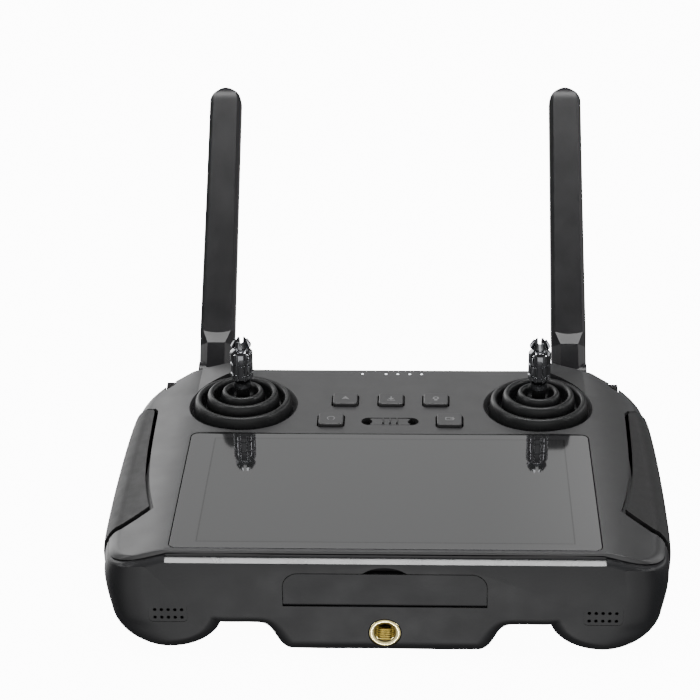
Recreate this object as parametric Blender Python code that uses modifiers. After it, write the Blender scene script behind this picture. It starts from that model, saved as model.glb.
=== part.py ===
"""Handheld radio transmitter controller with a built-in screen, two sticks and two folding antennas.

Frame: X to the user's right, Y away from the user, Z up. The origin is the middle of the flat belly that the
controller rests on. Sizes are written in millimetres and turned into metres by mm().
"""
import math

import bmesh
import bpy
from mathutils import Matrix, Vector

# ---------------------------------------------------------------- driving dimensions (mm)
GAP = 0.3                 # clearance between pieces that touch
HALF_WIDTH = 95.0         # at the widest place, over the grips
FRONT = -64.8             # front face of the lower case
REAR = 65.5               # rear face of both cases
DECK = 39.0               # top of the flat deck
LID_FRONT = -63.1         # front edge of the upper case
SEAM = 37.5               # split between the cases along the front
FLAT_HALF = 71.5          # half width of the flat middle of the deck
DECK_FALL = math.tan(math.radians(15.0))   # fall of the deck's side facets
SEAM_FALL = math.tan(math.radians(15.5))   # fall of the seam towards the sides
WIDEST = 26.0             # height of the widest line of the side
CHANNEL = 10.6            # underside between the belly and the hand lobes
WALL = 2.6
LOBE_X = 71.5             # lowest line of a hand lobe
CORNER = 13.0             # plan radius of the front corners
CORNER_X = 80.0           # where the front corner's arc starts

GLASS = (140.2, 76.6, 1.5)          # width, depth, thickness
GLASS_FRONT = -61.5
GIMBAL = (53.6, 37.0, 28.0)         # stick pivot, right side
DISH_R = 19.4
DISH_FLOOR = 35.0
STICK_TOP = 65.4

KEY = (9.1, 8.6, 4.5)               # width, depth, height of a push key
KEY_TOP = 40.15
KEYS = {
    "key_left": (-16.5, 40.3),
    "key_middle": (0.2, 40.3),
    "key_right": (16.5, 40.3),
    "key_lower_left": (-21.1, 24.8),
    "key_lower_right": (21.4, 24.8),
}
SLIDER_Y = 24.7
SLOT = (20.6, 5.4)                  # mode slider's slot: length, width
LED_X = (-10.9, -2.1, 2.3, 6.8, 11.2)
LED_Y = 62.0

COVER = (66.2, 12.2, 1.8)           # port cover: width, height, thickness
COVER_BOTTOM = 19.05
INSERT_Z = 8.7
INSERT_R = 5.25
SPEAKER_X = 70.9
SPEAKER_ROWS = (17.1, 14.15)
SPEAKER_PITCH = 2.21

ANTENNA_X = 66.7
HINGE = (70.8, 34.2)                # antenna hinge axis, y and z
ANTENNA_TILT = 46.0                 # degrees above +Y
ANTENNA = (12.5, 8.6)               # width, thickness

DIAL = (81.7, 58.0, 30.3)           # centre of the right shoulder dial
DIAL_R = 6.5
DIAL_WIDTH = 4.6

SCREWS = ((82.0, -46.0, 10.4), (33.5, 59.0, 13.0))   # x, y and the underside of the head

# ---------------------------------------------------------------- colours: base colour, roughness, metallic
FINISH = {
    "case": ((0.030, 0.031, 0.033), 0.48, 0.0),
    "rubber": ((0.016, 0.016, 0.017), 0.80, 0.0),
    "glass": ((0.012, 0.013, 0.014), 0.06, 0.0),
    "key": ((0.028, 0.029, 0.031), 0.50, 0.0),
    "steel": ((0.30, 0.30, 0.31), 0.25, 1.0),
    "dark_metal": ((0.09, 0.09, 0.095), 0.20, 1.0),
    "brass": ((0.75, 0.52, 0.20), 0.28, 1.0),
    "board": ((0.02, 0.12, 0.05), 0.55, 0.0),
    "light": ((0.85, 0.90, 0.95), 0.30, 0.0),
    "cell": ((0.10, 0.16, 0.35), 0.50, 0.0),
}


def mm(*values):
    """Millimetres to metres, as a vector when there are several."""
    scaled = [v * 0.001 for v in values]
    return scaled[0] if len(scaled) == 1 else Vector(scaled)


# ---------------------------------------------------------------- scene
for old in list(bpy.data.objects):
    bpy.data.objects.remove(old, do_unlink=True)
PARTS = bpy.data.collections.new("radio_controller")
CUTTERS = bpy.data.collections.new("cutters")
for group in (PARTS, CUTTERS):
    bpy.context.scene.collection.children.link(group)


def material(name):
    if name in bpy.data.materials:
        return bpy.data.materials[name]
    colour, roughness, metallic = FINISH[name]
    made = bpy.data.materials.new(name)
    made.use_nodes = True
    shader = made.node_tree.nodes["Principled BSDF"]
    shader.inputs["Base Color"].default_value = (*colour, 1.0)
    shader.inputs["Roughness"].default_value = roughness
    shader.inputs["Metallic"].default_value = metallic
    made.diffuse_color = (*colour, 1.0)
    return made


def new_object(name, mesh, finish=None):
    """A part when it has a finish, or else a cutter."""
    thing = bpy.data.objects.new(name, mesh)
    if finish:
        PARTS.objects.link(thing)
        mesh.materials.append(material(finish))
        mesh.shade_smooth()
        mesh.set_sharp_from_angle(angle=math.radians(32))
    else:
        CUTTERS.objects.link(thing)
        thing.hide_render = True
        thing.display_type = "WIRE"
    return thing


def mesh_from(bm, name):
    bmesh.ops.recalc_face_normals(bm, faces=bm.faces)
    mesh = bpy.data.meshes.new(name)
    bm.to_mesh(mesh)
    bm.free()
    return mesh


def evaluated(thing):
    """The object's mesh with its modifiers, as a new mesh."""
    graph = bpy.context.evaluated_depsgraph_get()
    graph.update()
    return bpy.data.meshes.new_from_object(thing.evaluated_get(graph))


def boolean(thing, tool, operation):
    """Applies one exact boolean and drops the tool."""
    step = thing.modifiers.new(operation.lower(), "BOOLEAN")
    step.operation = operation
    step.solver = "EXACT"
    step.object = tool
    result = evaluated(thing)
    thing.modifiers.remove(step)
    thing.data = result
    bpy.data.objects.remove(tool, do_unlink=True)


def cut(thing, *tools):
    for tool in tools:
        boolean(thing, tool, "DIFFERENCE")


def join(thing, *tools):
    for tool in tools:
        boolean(thing, tool, "UNION")


def keep(thing, tool):
    boolean(thing, tool, "INTERSECT")


def finish_part(thing, name, finish):
    """Turns a worked cutter into a named part."""
    mesh = thing.data
    bm = bmesh.new()
    bm.from_mesh(mesh)
    bmesh.ops.remove_doubles(bm, verts=bm.verts, dist=2e-6)
    bmesh.ops.dissolve_degenerate(bm, edges=bm.edges, dist=1e-6)
    bm.to_mesh(mesh)
    bm.free()
    mesh.materials.clear()
    mesh.materials.append(material(finish))
    mesh.shade_smooth()
    mesh.set_sharp_from_angle(angle=math.radians(32))
    thing.name = name
    CUTTERS.objects.unlink(thing)
    PARTS.objects.link(thing)
    thing.hide_render = False
    thing.display_type = "TEXTURED"
    return thing


# ---------------------------------------------------------------- basic solids (mm in, metres out)
def box(low, high, name="box", finish=None, bevel=0.0, segments=1):
    bm = bmesh.new()
    bmesh.ops.create_cube(bm, size=1.0)
    size = [high[i] - low[i] for i in range(3)]
    middle = [(high[i] + low[i]) / 2 for i in range(3)]
    bmesh.ops.scale(bm, vec=mm(*size), verts=bm.verts)
    bmesh.ops.translate(bm, vec=mm(*middle), verts=bm.verts)
    if bevel:
        bmesh.ops.bevel(bm, geom=bm.edges[:], offset=mm(bevel), segments=segments, affect="EDGES",
                        profile=0.5)
    return new_object(name, mesh_from(bm, name), finish)


AXES = {
    "X": Matrix.Rotation(math.radians(90), 4, "Y"),
    "Y": Matrix.Rotation(math.radians(-90), 4, "X"),
    "Z": Matrix.Identity(4),
}


def cylinder(centre, radius, length, axis="Z", name="cylinder", finish=None, sides=24, top=None):
    """A cylinder, or a cone when top is given, about centre."""
    bm = bmesh.new()
    end = radius if top is None else top
    bmesh.ops.create_cone(bm, cap_ends=True, segments=sides, radius1=mm(radius), radius2=mm(end),
                          depth=mm(length))
    bmesh.ops.transform(bm, matrix=Matrix.Translation(mm(*centre)) @ AXES[axis], verts=bm.verts)
    return new_object(name, mesh_from(bm, name), finish)


def prism(points, low, high, axis="Z", name="prism", finish=None):
    """A flat outline in the two axes other than axis, extruded along it from low to high."""
    order = {"Z": lambda p, h: (p[0], p[1], h), "Y": lambda p, h: (p[0], h, p[1]),
             "X": lambda p, h: (h, p[0], p[1])}
    place = order[axis]
    bm = bmesh.new()
    ring = [bm.verts.new(mm(*place(p, low))) for p in points]
    face = bm.faces.new(ring)
    grown = bmesh.ops.extrude_face_region(bm, geom=[face])
    moved = [v for v in grown["geom"] if isinstance(v, bmesh.types.BMVert)]
    shift = {"Z": (0, 0, high - low), "Y": (0, high - low, 0), "X": (high - low, 0, 0)}[axis]
    bmesh.ops.translate(bm, vec=mm(*shift), verts=moved)
    return new_object(name, mesh_from(bm, name), finish)


def arc(cx, cy, radius, start, end, steps):
    """Points along an arc, angles in degrees."""
    turn = [math.radians(start + (end - start) * i / steps) for i in range(steps + 1)]
    return [(cx + radius * math.cos(a), cy + radius * math.sin(a)) for a in turn]


def rounded_rect(width, depth, radius, cx=0.0, cy=0.0, steps=4):
    w, d = width / 2 - radius, depth / 2 - radius
    points = []
    for sx, sy, start in ((1, 1, 0), (-1, 1, 90), (-1, -1, 180), (1, -1, 270)):
        points += arc(cx + sx * w, cy + sy * d, radius, start, start + 90, steps)
    return points


def turned(profile, name, finish=None, centre=(0, 0, 0), sides=24):
    """A closed (radius, height) profile turned about Z with a Screw modifier."""
    bm = bmesh.new()
    ring = [bm.verts.new(mm(r, 0, z)) for r, z in profile]
    for a, b in zip(ring, ring[1:] + ring[:1]):
        if not (a.co.x == 0 and b.co.x == 0):
            bm.edges.new((a, b))
    mesh = bpy.data.meshes.new(name)
    bm.to_mesh(mesh)
    bm.free()
    thing = new_object(name, mesh)
    screw = thing.modifiers.new("turn", "SCREW")
    screw.steps = screw.render_steps = sides
    screw.use_merge_vertices = True
    screw.merge_threshold = 0.00001
    mesh = evaluated(thing)
    bm = bmesh.new()
    bm.from_mesh(mesh)
    bmesh.ops.remove_doubles(bm, verts=bm.verts, dist=1e-6)
    bmesh.ops.translate(bm, vec=mm(*centre), verts=bm.verts)
    made = mesh_from(bm, name)
    bpy.data.objects.remove(thing, do_unlink=True)
    return new_object(name, made, finish)


def wire(points, radius, name, finish, resolution=2):
    """A round wire through the points, capped and welded."""
    curve = bpy.data.curves.new(name, "CURVE")
    curve.dimensions = "3D"
    curve.bevel_depth = mm(radius)
    curve.bevel_resolution = resolution
    curve.use_fill_caps = True
    line = curve.splines.new("POLY")
    line.points.add(len(points) - 1)
    for spot, p in zip(line.points, points):
        spot.co = (*mm(*p), 1.0)
    guide = bpy.data.objects.new(name + "_curve", curve)
    CUTTERS.objects.link(guide)
    mesh = evaluated(guide)
    bpy.data.objects.remove(guide, do_unlink=True)
    bm = bmesh.new()
    bm.from_mesh(mesh)
    bmesh.ops.remove_doubles(bm, verts=bm.verts, dist=1e-6)
    return new_object(name, mesh_from(bm, name), finish)


# ---------------------------------------------------------------- the case's form
# Plan outline behind the front corners: (y, half width) pairs, and how deep the lobes and the belly are.
SIDE = ((-51.8, 93.0), (-40.0, 94.2), (-20.0, 94.8), (0.0, 95.0), (22.0, 94.8), (38.0, 94.2), (46.0, 93.2),
        (51.0, 91.6), (55.0, 89.2), (58.5, 86.0), (61.0, 82.4), (62.8, 79.6), (64.5, 77.4), (REAR, 76.4))
LOBE_DEPTH = ((FRONT, 1.0), (10.0, 1.0), (30.0, 0.9), (46.0, 0.7), (58.0, 0.5), (REAR, 0.42))
BELLY_DEPTH = ((FRONT, 1.0), (14.0, 1.0), (22.0, 0.82), (32.0, 0.3), (38.0, 0.0), (REAR, 0.0))
ROUND_TOP = 2.2           # front edge radius of the lower case
ROUND_BOTTOM = 5.5        # front edge radius of the lobes and the belly
ROUND_REAR = 0.9
FRONT_STEPS = (0.0, 0.2, 0.7, 1.5, 2.6, 4.0, 5.5, 8.8)      # stations behind the front face
REAR_STEPS = (0.9, 0.35, 0.1, 0.0)


def along(table, y):
    """Straight-line reading of a table of (y, value)."""
    if y <= table[0][0]:
        return table[0][1]
    for (y0, v0), (y1, v1) in zip(table, table[1:]):
        if y <= y1:
            return v0 + (v1 - v0) * (y - y0) / (y1 - y0)
    return table[-1][1]


def half_width(y, inset, front):
    """Half width of the plan outline at y, for a surface that lies inset under the skin."""
    centre = SIDE[0][0]
    if y < centre:
        reach = centre - front - inset
        share = max(0.0, 1 - ((centre - y) / reach) ** 2) if reach > 0 else 0.0
        return CORNER_X + (CORNER - inset) * math.sqrt(share)
    lean = 0.75 * inset if y > 40 else 0.0
    return along(SIDE, min(REAR, y + lean)) - inset


def edge_inset(distance, radius):
    """How far a rounded end edge is still drawn in, at this distance behind the end face."""
    if distance >= radius:
        return 0.0
    return radius - math.sqrt(radius**2 - (radius - distance) ** 2)


def deck_height(x):
    return DECK - max(0.0, abs(x) - FLAT_HALF) * DECK_FALL


def seam_height(x):
    return SEAM - max(0.0, abs(x) - (FLAT_HALF - 1)) * SEAM_FALL


def half_section(kind, wide, lobe, belly, room=0.0):
    """Right half of a cross-section, from the top middle to the bottom middle: (x, z, front radius).

    room keeps the flat deck and the lobes clear of the side, for a surface that will be drawn in.
    """
    squeeze = max(0.36, (wide - LOBE_X) / (HALF_WIDTH - LOBE_X))
    points = []
    shoulder = 6.5 * squeeze
    flat = min(FLAT_HALF, wide - shoulder - room - 0.8)
    if kind == "lower":
        edge = wide - 0.87 * squeeze
        points += [(0, SEAM, ROUND_TOP), (35, SEAM, ROUND_TOP), (flat - 1, SEAM, ROUND_TOP)]
        points += [(edge - 1.2, seam_height(edge - 1.2) - 0.1, ROUND_TOP)]
        points += [(edge - 0.2, seam_height(edge) - 0.8, 1.2)]
    elif kind == "open":
        points += [(0, 48, 0), (35, 48, 0), (wide, 48, 0)]
    else:
        start = wide - shoulder
        top = deck_height(start)
        points += [(0, DECK, 0.6), (35, DECK, 0.6), (flat, DECK, 0.6), (start, top, 0.6)]
        for turn in (18, 36, 54, 72):
            a = math.radians(turn)
            points.append((start + shoulder * math.sin(a), WIDEST + (top - WIDEST) * math.cos(a), 1.2))
    points.append((wide, WIDEST, 1.2))
    if kind == "upper":
        points += [(wide, WIDEST - 4, 1.2), (0, WIDEST - 4, 0.6)]
        return points
    points += [(wide - 0.3 * squeeze, 20.0, 1.5)]
    lobe_x = min(LOBE_X, wide - 11.0)
    outer = wide - 1.6 * squeeze - lobe_x
    inner = lobe_x - 53.4
    lobe_points = []
    for turn in (0, 18, 36, 54, 72, 90, 110, 130, 150, 166):
        a = math.radians(turn)
        reach = outer if turn <= 90 else inner
        lobe_points.append((lobe_x + reach * math.cos(a), 13.4 - 13.1 * math.sin(a),
                            ROUND_BOTTOM if turn > 10 else 2.5))
    lobe_points.append((52.4, CHANNEL, 4.0))
    belly_points = [(41.6, CHANNEL, 4.0), (39.4, 9.7, 4.6), (37.6, 7.6, 5.0), (35.8, 4.0, ROUND_BOTTOM),
                    (34.0, 1.5, ROUND_BOTTOM), (31.2, 0.0, ROUND_BOTTOM), (0, 0.0, ROUND_BOTTOM)]
    for x, z, r in lobe_points:
        points.append((x, CHANNEL - lobe * (CHANNEL - z) if z < CHANNEL else z, r))
    for x, z, r in belly_points:
        points.append((x, CHANNEL - belly * (CHANNEL - z), r))
    return points


def offset_half(points, inset):
    """Draws the half section in along its own normals, keeping the middle points on the middle plane."""
    drawn = []
    for i, (x, z, r) in enumerate(points):
        before = points[i - 1] if i else (-points[1][0], points[1][1])
        after = points[i + 1] if i + 1 < len(points) else (-points[-2][0], points[-2][1])
        a = Vector((x - before[0], z - before[1])).normalized()
        b = Vector((after[0] - x, after[1] - z)).normalized()
        normals = [Vector((-d.y, d.x)) for d in (a, b)]
        out = (normals[0] + normals[1]).normalized()
        amount = inset if not callable(inset) else inset(r)
        stretch = min(1.6, 1 / max(0.3, out.dot(normals[0])))
        drawn.append((x - out.x * amount * stretch, z - out.y * amount * stretch))
    return drawn


def case_form(kind, inset=0.0, name="form", fine=True, span=None):
    """A closed loft of cross-sections from front to rear, lying inset under the skin.

    span limits it to a stretch of Y, between the rounded ends.
    """
    front = LID_FRONT if kind == "upper" else FRONT
    if span:
        stations = [span[0]] + [y for y, _ in SIDE if span[0] + 1 < y < span[1] - 1] + [span[1]]
    elif fine:
        stations = [front + d for d in FRONT_STEPS]
        stations += [y for y, _ in SIDE if stations[-1] + 1 < y < REAR - 3]
        stations += [REAR - d for d in REAR_STEPS]
    else:
        stations = [front + inset + d for d in (0.0, 1.2, 4.0)]
        stations += [y for y, _ in SIDE[::2] if -55 < y < REAR - inset - 4]
        stations += [14.0, 32.0, REAR - inset - 3.5, REAR - inset]
        stations = sorted(set(stations))
    bm = bmesh.new()
    rings = []
    for y in stations:
        wide = half_width(y, 0.0, front) if fine else half_width(y, inset, front) + inset
        half = half_section(kind, wide, along(LOBE_DEPTH, y), along(BELLY_DEPTH, y), max(0.0, inset))
        if fine and not span:
            near_front = y - front
            near_rear = REAR - y
            half = offset_half(half, lambda r: edge_inset(near_front, r) + edge_inset(near_rear, ROUND_REAR))
            half = offset_half([(x, z, 0) for x, z in half], inset) if inset else half
        else:
            half = offset_half(half, inset)
        loop = half + [(-x, z) for x, z in reversed(half[1:-1])]
        rings.append([bm.verts.new(mm(x, y, z)) for x, z in loop])
    for a, b in zip(rings, rings[1:]):
        for i in range(len(a)):
            j = (i + 1) % len(a)
            bm.faces.new((a[i], a[j], b[j], b[i]))
    bm.faces.new(rings[0][::-1])
    bm.faces.new(rings[-1])
    return new_object(name, mesh_from(bm, name))


SIDES = {"left": -1, "right": 1}

# ---------------------------------------------------------------- outlines shared by the pieces
# Inner edge and ends of a grip pad in plan, right side; the pad wraps the side below it.
PAD_OUTLINE = ((78.2, -34.5), (79.6, -28.0), (81.3, -19.0), (82.8, -8.0), (84.0, 8.0), (84.6, 24.0),
               (85.0, 38.0), (86.2, 40.6), (89.0, 41.8), (104.0, 43.0), (104.0, -47.5), (92.0, -45.6),
               (88.5, -43.6), (83.5, -39.4))
COVER_OUTLINE_R = 5.0


def shrink(points, amount):
    """Moves a clockwise or anticlockwise outline inward by amount."""
    area = sum(a[0] * b[1] - b[0] * a[1] for a, b in zip(points, points[1:] + points[:1]))
    sign = 1 if area > 0 else -1
    out = []
    for i, p in enumerate(points):
        a = (Vector(p) - Vector(points[i - 1])).normalized()
        b = (Vector(points[(i + 1) % len(points)]) - Vector(p)).normalized()
        normal = (Vector((-a.y, a.x)) + Vector((-b.y, b.x))).normalized() * sign
        stretch = 1 / max(0.5, abs(normal.dot(Vector((-a.y, a.x)))))
        out.append((p[0] + normal.x * amount * stretch, p[1] + normal.y * amount * stretch))
    return out


def cover_outline(grow=0.0):
    """The port cover seen from the front: square lower corners, rounded upper ones."""
    half, bottom, top = COVER[0] / 2 + grow, COVER_BOTTOM - grow, COVER_BOTTOM + COVER[1] + grow
    r = COVER_OUTLINE_R + grow
    points = [(-half, bottom), (half, bottom)]
    points += arc(half - r, top - r, r, 0, 90, 5)
    points += arc(-half + r, top - r, r, 90, 180, 5)
    return points


def pad_layer(side, outer_inset, inner_inset, shrink_by, low):
    """The layer of the case's skin between two depths, inside the pad's outline."""
    outline = [(side * x, y) for x, y in shrink(list(PAD_OUTLINE), shrink_by)]
    layer = prism(outline, low, 44.0, name="pad_region")
    if outer_inset is not None:
        keep(layer, case_form("full", outer_inset, name="pad_outer", span=(-56.0, 48.0)))
    cut(layer, case_form("full", inner_inset, name="pad_inner", span=(-58.0, 50.0)))
    return layer


# ---------------------------------------------------------------- upper case
def make_top_shell():
    lid = case_form("upper", name="lid")
    below = [(-120, seam_height(120) + 0.4), (-FLAT_HALF + 1, SEAM + 0.4), (FLAT_HALF - 1, SEAM + 0.4),
             (120, seam_height(120) + 0.4), (120, -20), (-120, -20)]
    cut(lid, prism(below, -80, 80, axis="Y", name="under_seam"))
    for side in (-1, 1):
        inner, outer = 56.5, FLAT_HALF - 0.3
        rise = [(side * x, z) for x, z in ((inner - 1.2, SEAM + 0.8), (inner, deck_rise(inner) - 0.3),
                                            (inner + 0.6, deck_rise(inner + 0.6)), (outer, deck_rise(outer)),
                                            (outer, SEAM + 0.8))]
        join(lid, prism(rise, GIMBAL[1], REAR - 0.35, axis="Y", name="shoulder"))
    plug = [(x, y) for x, y in rounded_rect(2 * 73.0, 122.6, 3.0, cy=0.1, steps=2)]
    join(lid, prism(plug, 36.0, SEAM + 0.9, name="plug"))
    for side in (-1, 1):
        gx, gy = side * GIMBAL[0], GIMBAL[1]
        join(lid, cylinder((gx, gy, 35.0), DISH_R + 1.8, 3.2, sides=48))
        cut(lid, cylinder((gx, gy, DISH_FLOOR + 6), DISH_R, 12.0, sides=48))
        cut(lid, cylinder((gx, gy, 35.0), 15.2, 8.0, sides=40))
        for (sx, sy, _), end in zip(SCREWS, (33.9, 36.4)):
            post = cylinder((side * sx, sy, (24.6 + end) / 2), 3.0, end - 24.6, sides=16)
            join(lid, post)
            cut(lid, cylinder((side * sx, sy, 28.0), 1.5, 9.0, sides=12))
        cut(lid, dial_room(side))
        cut(lid, pad_layer(side, None, 1.5, 0.0, 6.0))
    w, d, t = GLASS
    gy = GLASS_FRONT + d / 2
    cut(lid, prism(rounded_rect(w + 0.7, d + 0.7, 2.6, cy=gy), DECK - t - 0.3, DECK + 3))
    cut(lid, prism(rounded_rect(127.0, 72.0, 1.5, cy=gy - 0.5, steps=2), 30, DECK))
    for kx, ky in KEYS.values():
        cut(lid, prism(rounded_rect(KEY[0] + 0.7, KEY[1] + 0.7, 1.5, kx, ky, 3), 30, DECK + 3))
    cut(lid, prism(rounded_rect(SLOT[0], SLOT[1], SLOT[1] / 2 - 0.01, 0.1, SLIDER_Y, 5), 30, DECK + 3))
    for x in LED_X:
        cut(lid, cylinder((x, LED_Y, 37), 0.85, 8, sides=10))
    return finish_part(lid, "top_shell", "case")


def dial_room(side):
    """The slot that a shoulder dial turns in."""
    x, y, z = DIAL
    return cylinder((side * x, y, z), DIAL_R + 0.4, DIAL_WIDTH + 0.8, axis="X", sides=32)


def deck_rise(x):
    """Height of the side facet continued inboard, over the shoulders behind the sticks."""
    return DECK + (FLAT_HALF - abs(x)) * DECK_FALL + 0.01


# ---------------------------------------------------------------- lower case
def make_bottom_shell():
    tub = case_form("lower", name="tub")
    cut(tub, case_form("open", WALL, name="hollow", fine=False))
    half, bottom, height, depth = COVER[0] / 2, COVER_BOTTOM, COVER[1], COVER[2]
    join(tub, box((-half - 2.2, FRONT + WALL - 0.6, bottom - 2.4), (half + 2.2, -49.6, 33.05)))
    join(tub, cylinder((0, -58.2, INSERT_Z), 7.2, 8.4, axis="Y", sides=28))
    for side in (-1, 1):
        for (sx, sy, seat), floor in zip(SCREWS, (2.6, 11.6)):
            join(tub, cylinder((side * sx, sy, (floor + 24.0) / 2), 4.3, 24.0 - floor, sides=20))
            cut(tub, cylinder((side * sx, sy, seat - 10 + 2.3), 2.9, 20.0, sides=20))
            cut(tub, cylinder((side * sx, sy, 18.0), 1.5, 16.0, sides=12))
        cut(tub, dial_room(side))
        cut(tub, pad_layer(side, None, 1.5, 0.0, 4.5))
        for row in SPEAKER_ROWS:
            for i in range(5):
                x = side * SPEAKER_X + (i - 2) * SPEAKER_PITCH
                cut(tub, cylinder((x, FRONT, row), 0.6, 9.0, axis="Y", sides=8))
    cut(tub, prism(cover_outline(GAP), FRONT - 2, FRONT + depth + 0.4, axis="Y", name="cover_recess"))
    notch = cylinder((0, FRONT, bottom + height - 9.8), 12.4, 2 * (depth + 0.4), axis="Y", sides=48)
    cut(notch, box((-20, FRONT - 5, 0), (20, FRONT + 5, bottom + height - 1.0)))
    cut(tub, notch)
    cut(tub, box((-half + 2.4, FRONT, bottom + 1.6), (half - 2.4, -52.0, bottom + height - 1.4)))
    for name, (x, z, w, h, _, _) in PORTS.items():
        cut(tub, box((x - w / 2 - GAP, -56, z - h / 2 - GAP), (x + w / 2 + GAP, -46, z + h / 2 + GAP)))
    cut(tub, cylinder((0, -60.0, INSERT_Z), INSERT_R + GAP, 10.6, axis="Y", sides=32))
    for side in (-1, 1):
        cut(tub, cylinder((side * half, FRONT + 0.9, bottom + 0.9), 0.75, 3.2, axis="X", sides=10))
    return finish_part(tub, "bottom_shell", "case")


# name: x, z, width, height, mouth width, mouth height
PORTS = {
    "usb_port": (-14.0, 25.2, 9.0, 3.4, 8.2, 2.4),
    "video_port": (12.0, 25.4, 15.2, 5.6, 13.8, 4.3),
}


def make_ports():
    for name, (x, z, w, h, mouth_w, mouth_h) in PORTS.items():
        body = box((x - w / 2, -55.6, z - h / 2), (x + w / 2, -44.0, z + h / 2), name=name, bevel=0.5)
        cut(body, box((x - mouth_w / 2, -57, z - mouth_h / 2), (x + mouth_w / 2, -48.0, z + mouth_h / 2)))
        tongue_h = 0.7
        join(body, box((x - mouth_w / 2 + 1.0, -54.5, z - tongue_h / 2),
                       (x + mouth_w / 2 - 1.0, -47.5, z + tongue_h / 2)))
        finish_part(body, name, "steel")


def make_port_cover():
    w, h, t = COVER
    axis_y, axis_z = FRONT + 0.9, COVER_BOTTOM + 0.9
    cover = prism(cover_outline(), FRONT, FRONT + t, axis="Y", name="cover")
    cut(cover, box((-w, FRONT - 1, COVER_BOTTOM - 1), (w, FRONT + t + 1, axis_z)))
    join(cover, cylinder((0, axis_y, axis_z), t / 2 - 0.01, w, axis="X", sides=20))
    join(cover, cylinder((0, axis_y, axis_z), 0.45, w + 2.0, axis="X", sides=10))
    join(cover, box((-10, FRONT + t - 0.2, COVER_BOTTOM + h - 4.0),
                    (10, FRONT + t + 1.0, COVER_BOTTOM + h - 2.6)))
    return finish_part(cover, "port_cover", "case")


def make_insert():
    outer, bore = INSERT_R, 3.18
    profile = [(outer, 9.0), (outer, 5.4), (outer - 0.5, 5.0), (outer - 0.5, 4.2), (outer, 3.8),
               (outer, 0.0), (bore, 0.0), (bore, 8.6), (bore + 0.4, 9.0)]
    insert = turned(profile, "thread_insert", sides=32)
    bm = bmesh.new()
    bm.from_mesh(insert.data)
    turn = Matrix.Translation(mm(0, -55.9, INSERT_Z)) @ Matrix.Rotation(math.radians(90), 4, "X")
    bmesh.ops.transform(bm, matrix=turn, verts=bm.verts)
    bm.to_mesh(insert.data)
    bm.free()
    finish_part(insert, "thread_insert", "brass")


# ---------------------------------------------------------------- screen, boards, battery, sound
def make_screen():
    w, d, t = GLASS
    gy = GLASS_FRONT + d / 2
    glass = prism(rounded_rect(w, d, 2.3, cy=gy), DECK - t, DECK, name="screen_glass")
    finish_part(glass, "screen_glass", "glass")
    box((-62.6, gy - 36.1, 33.4), (62.6, gy + 35.0, DECK - t - GAP - 0.1), "display_module",
        "dark_metal", 0.5)


def make_boards():
    board = box((-42.5, -43.2, 21.4), (42.5, 12.0, 23.0), "main_board", bevel=0.0)
    finish_part(board, "main_board", "board")
    box((-26.5, 18.0, 20.6), (26.5, 53.5, 22.2), "radio_board", "board")
    shield = box((-18, 24, 22.5), (18, 46, 25.5), "radio_shield", bevel=0.6)
    finish_part(shield, "radio_shield", "steel")
    box((-27, -48.8, 3.2), (27, 9.8, 18.6), "battery_pack", "cell", 2.0, 2)
    for word, side in SIDES.items():
        speaker = box((side * 71 - 8.5, -61.6, 9.2), (side * 71 + 8.5, -54.0, 20.6), bevel=1.2)
        grown = cylinder((side * 71, -61.9, 14.9), 4.6, 2.2, axis="Y", sides=24)
        cut(speaker, grown)
        finish_part(speaker, f"{word}_speaker", "rubber")
        start = Vector((side * 27.2, 45.0, 25.0))
        route = [start, (side * 29.5, 48.5, 25.6), (side * 32.0, 51.2, 26.0), (side * 35.0, 53.9, 26.3),
                 (side * 38.5, 56.0, 26.5), (side * 44.0, 57.8, 26.8), (side * 51.0, 59.0, 27.2),
                 (side * 57.0, 60.1, 27.8), (side * 61.0, 61.3, 28.4)]
        wire([tuple(p) for p in route], 0.65, f"{word}_antenna_lead", "rubber")


def make_lights():
    """Light pipes for the five status lamps, moulded on one bar."""
    bar = box((LED_X[0] - 1.6, LED_Y - 0.9, 33.2), (LED_X[-1] + 1.6, LED_Y + 0.9, 35.2), bevel=0.0)
    for x in LED_X:
        join(bar, cylinder((x, LED_Y, 36.95), 0.5, 3.9, sides=10))
    finish_part(bar, "light_guide", "light")


def make_grips():
    for word, side in SIDES.items():
        pad = pad_layer(side, -0.5, 1.2, 0.75, 5.6)
        finish_part(pad, f"{word}_grip", "rubber")


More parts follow.
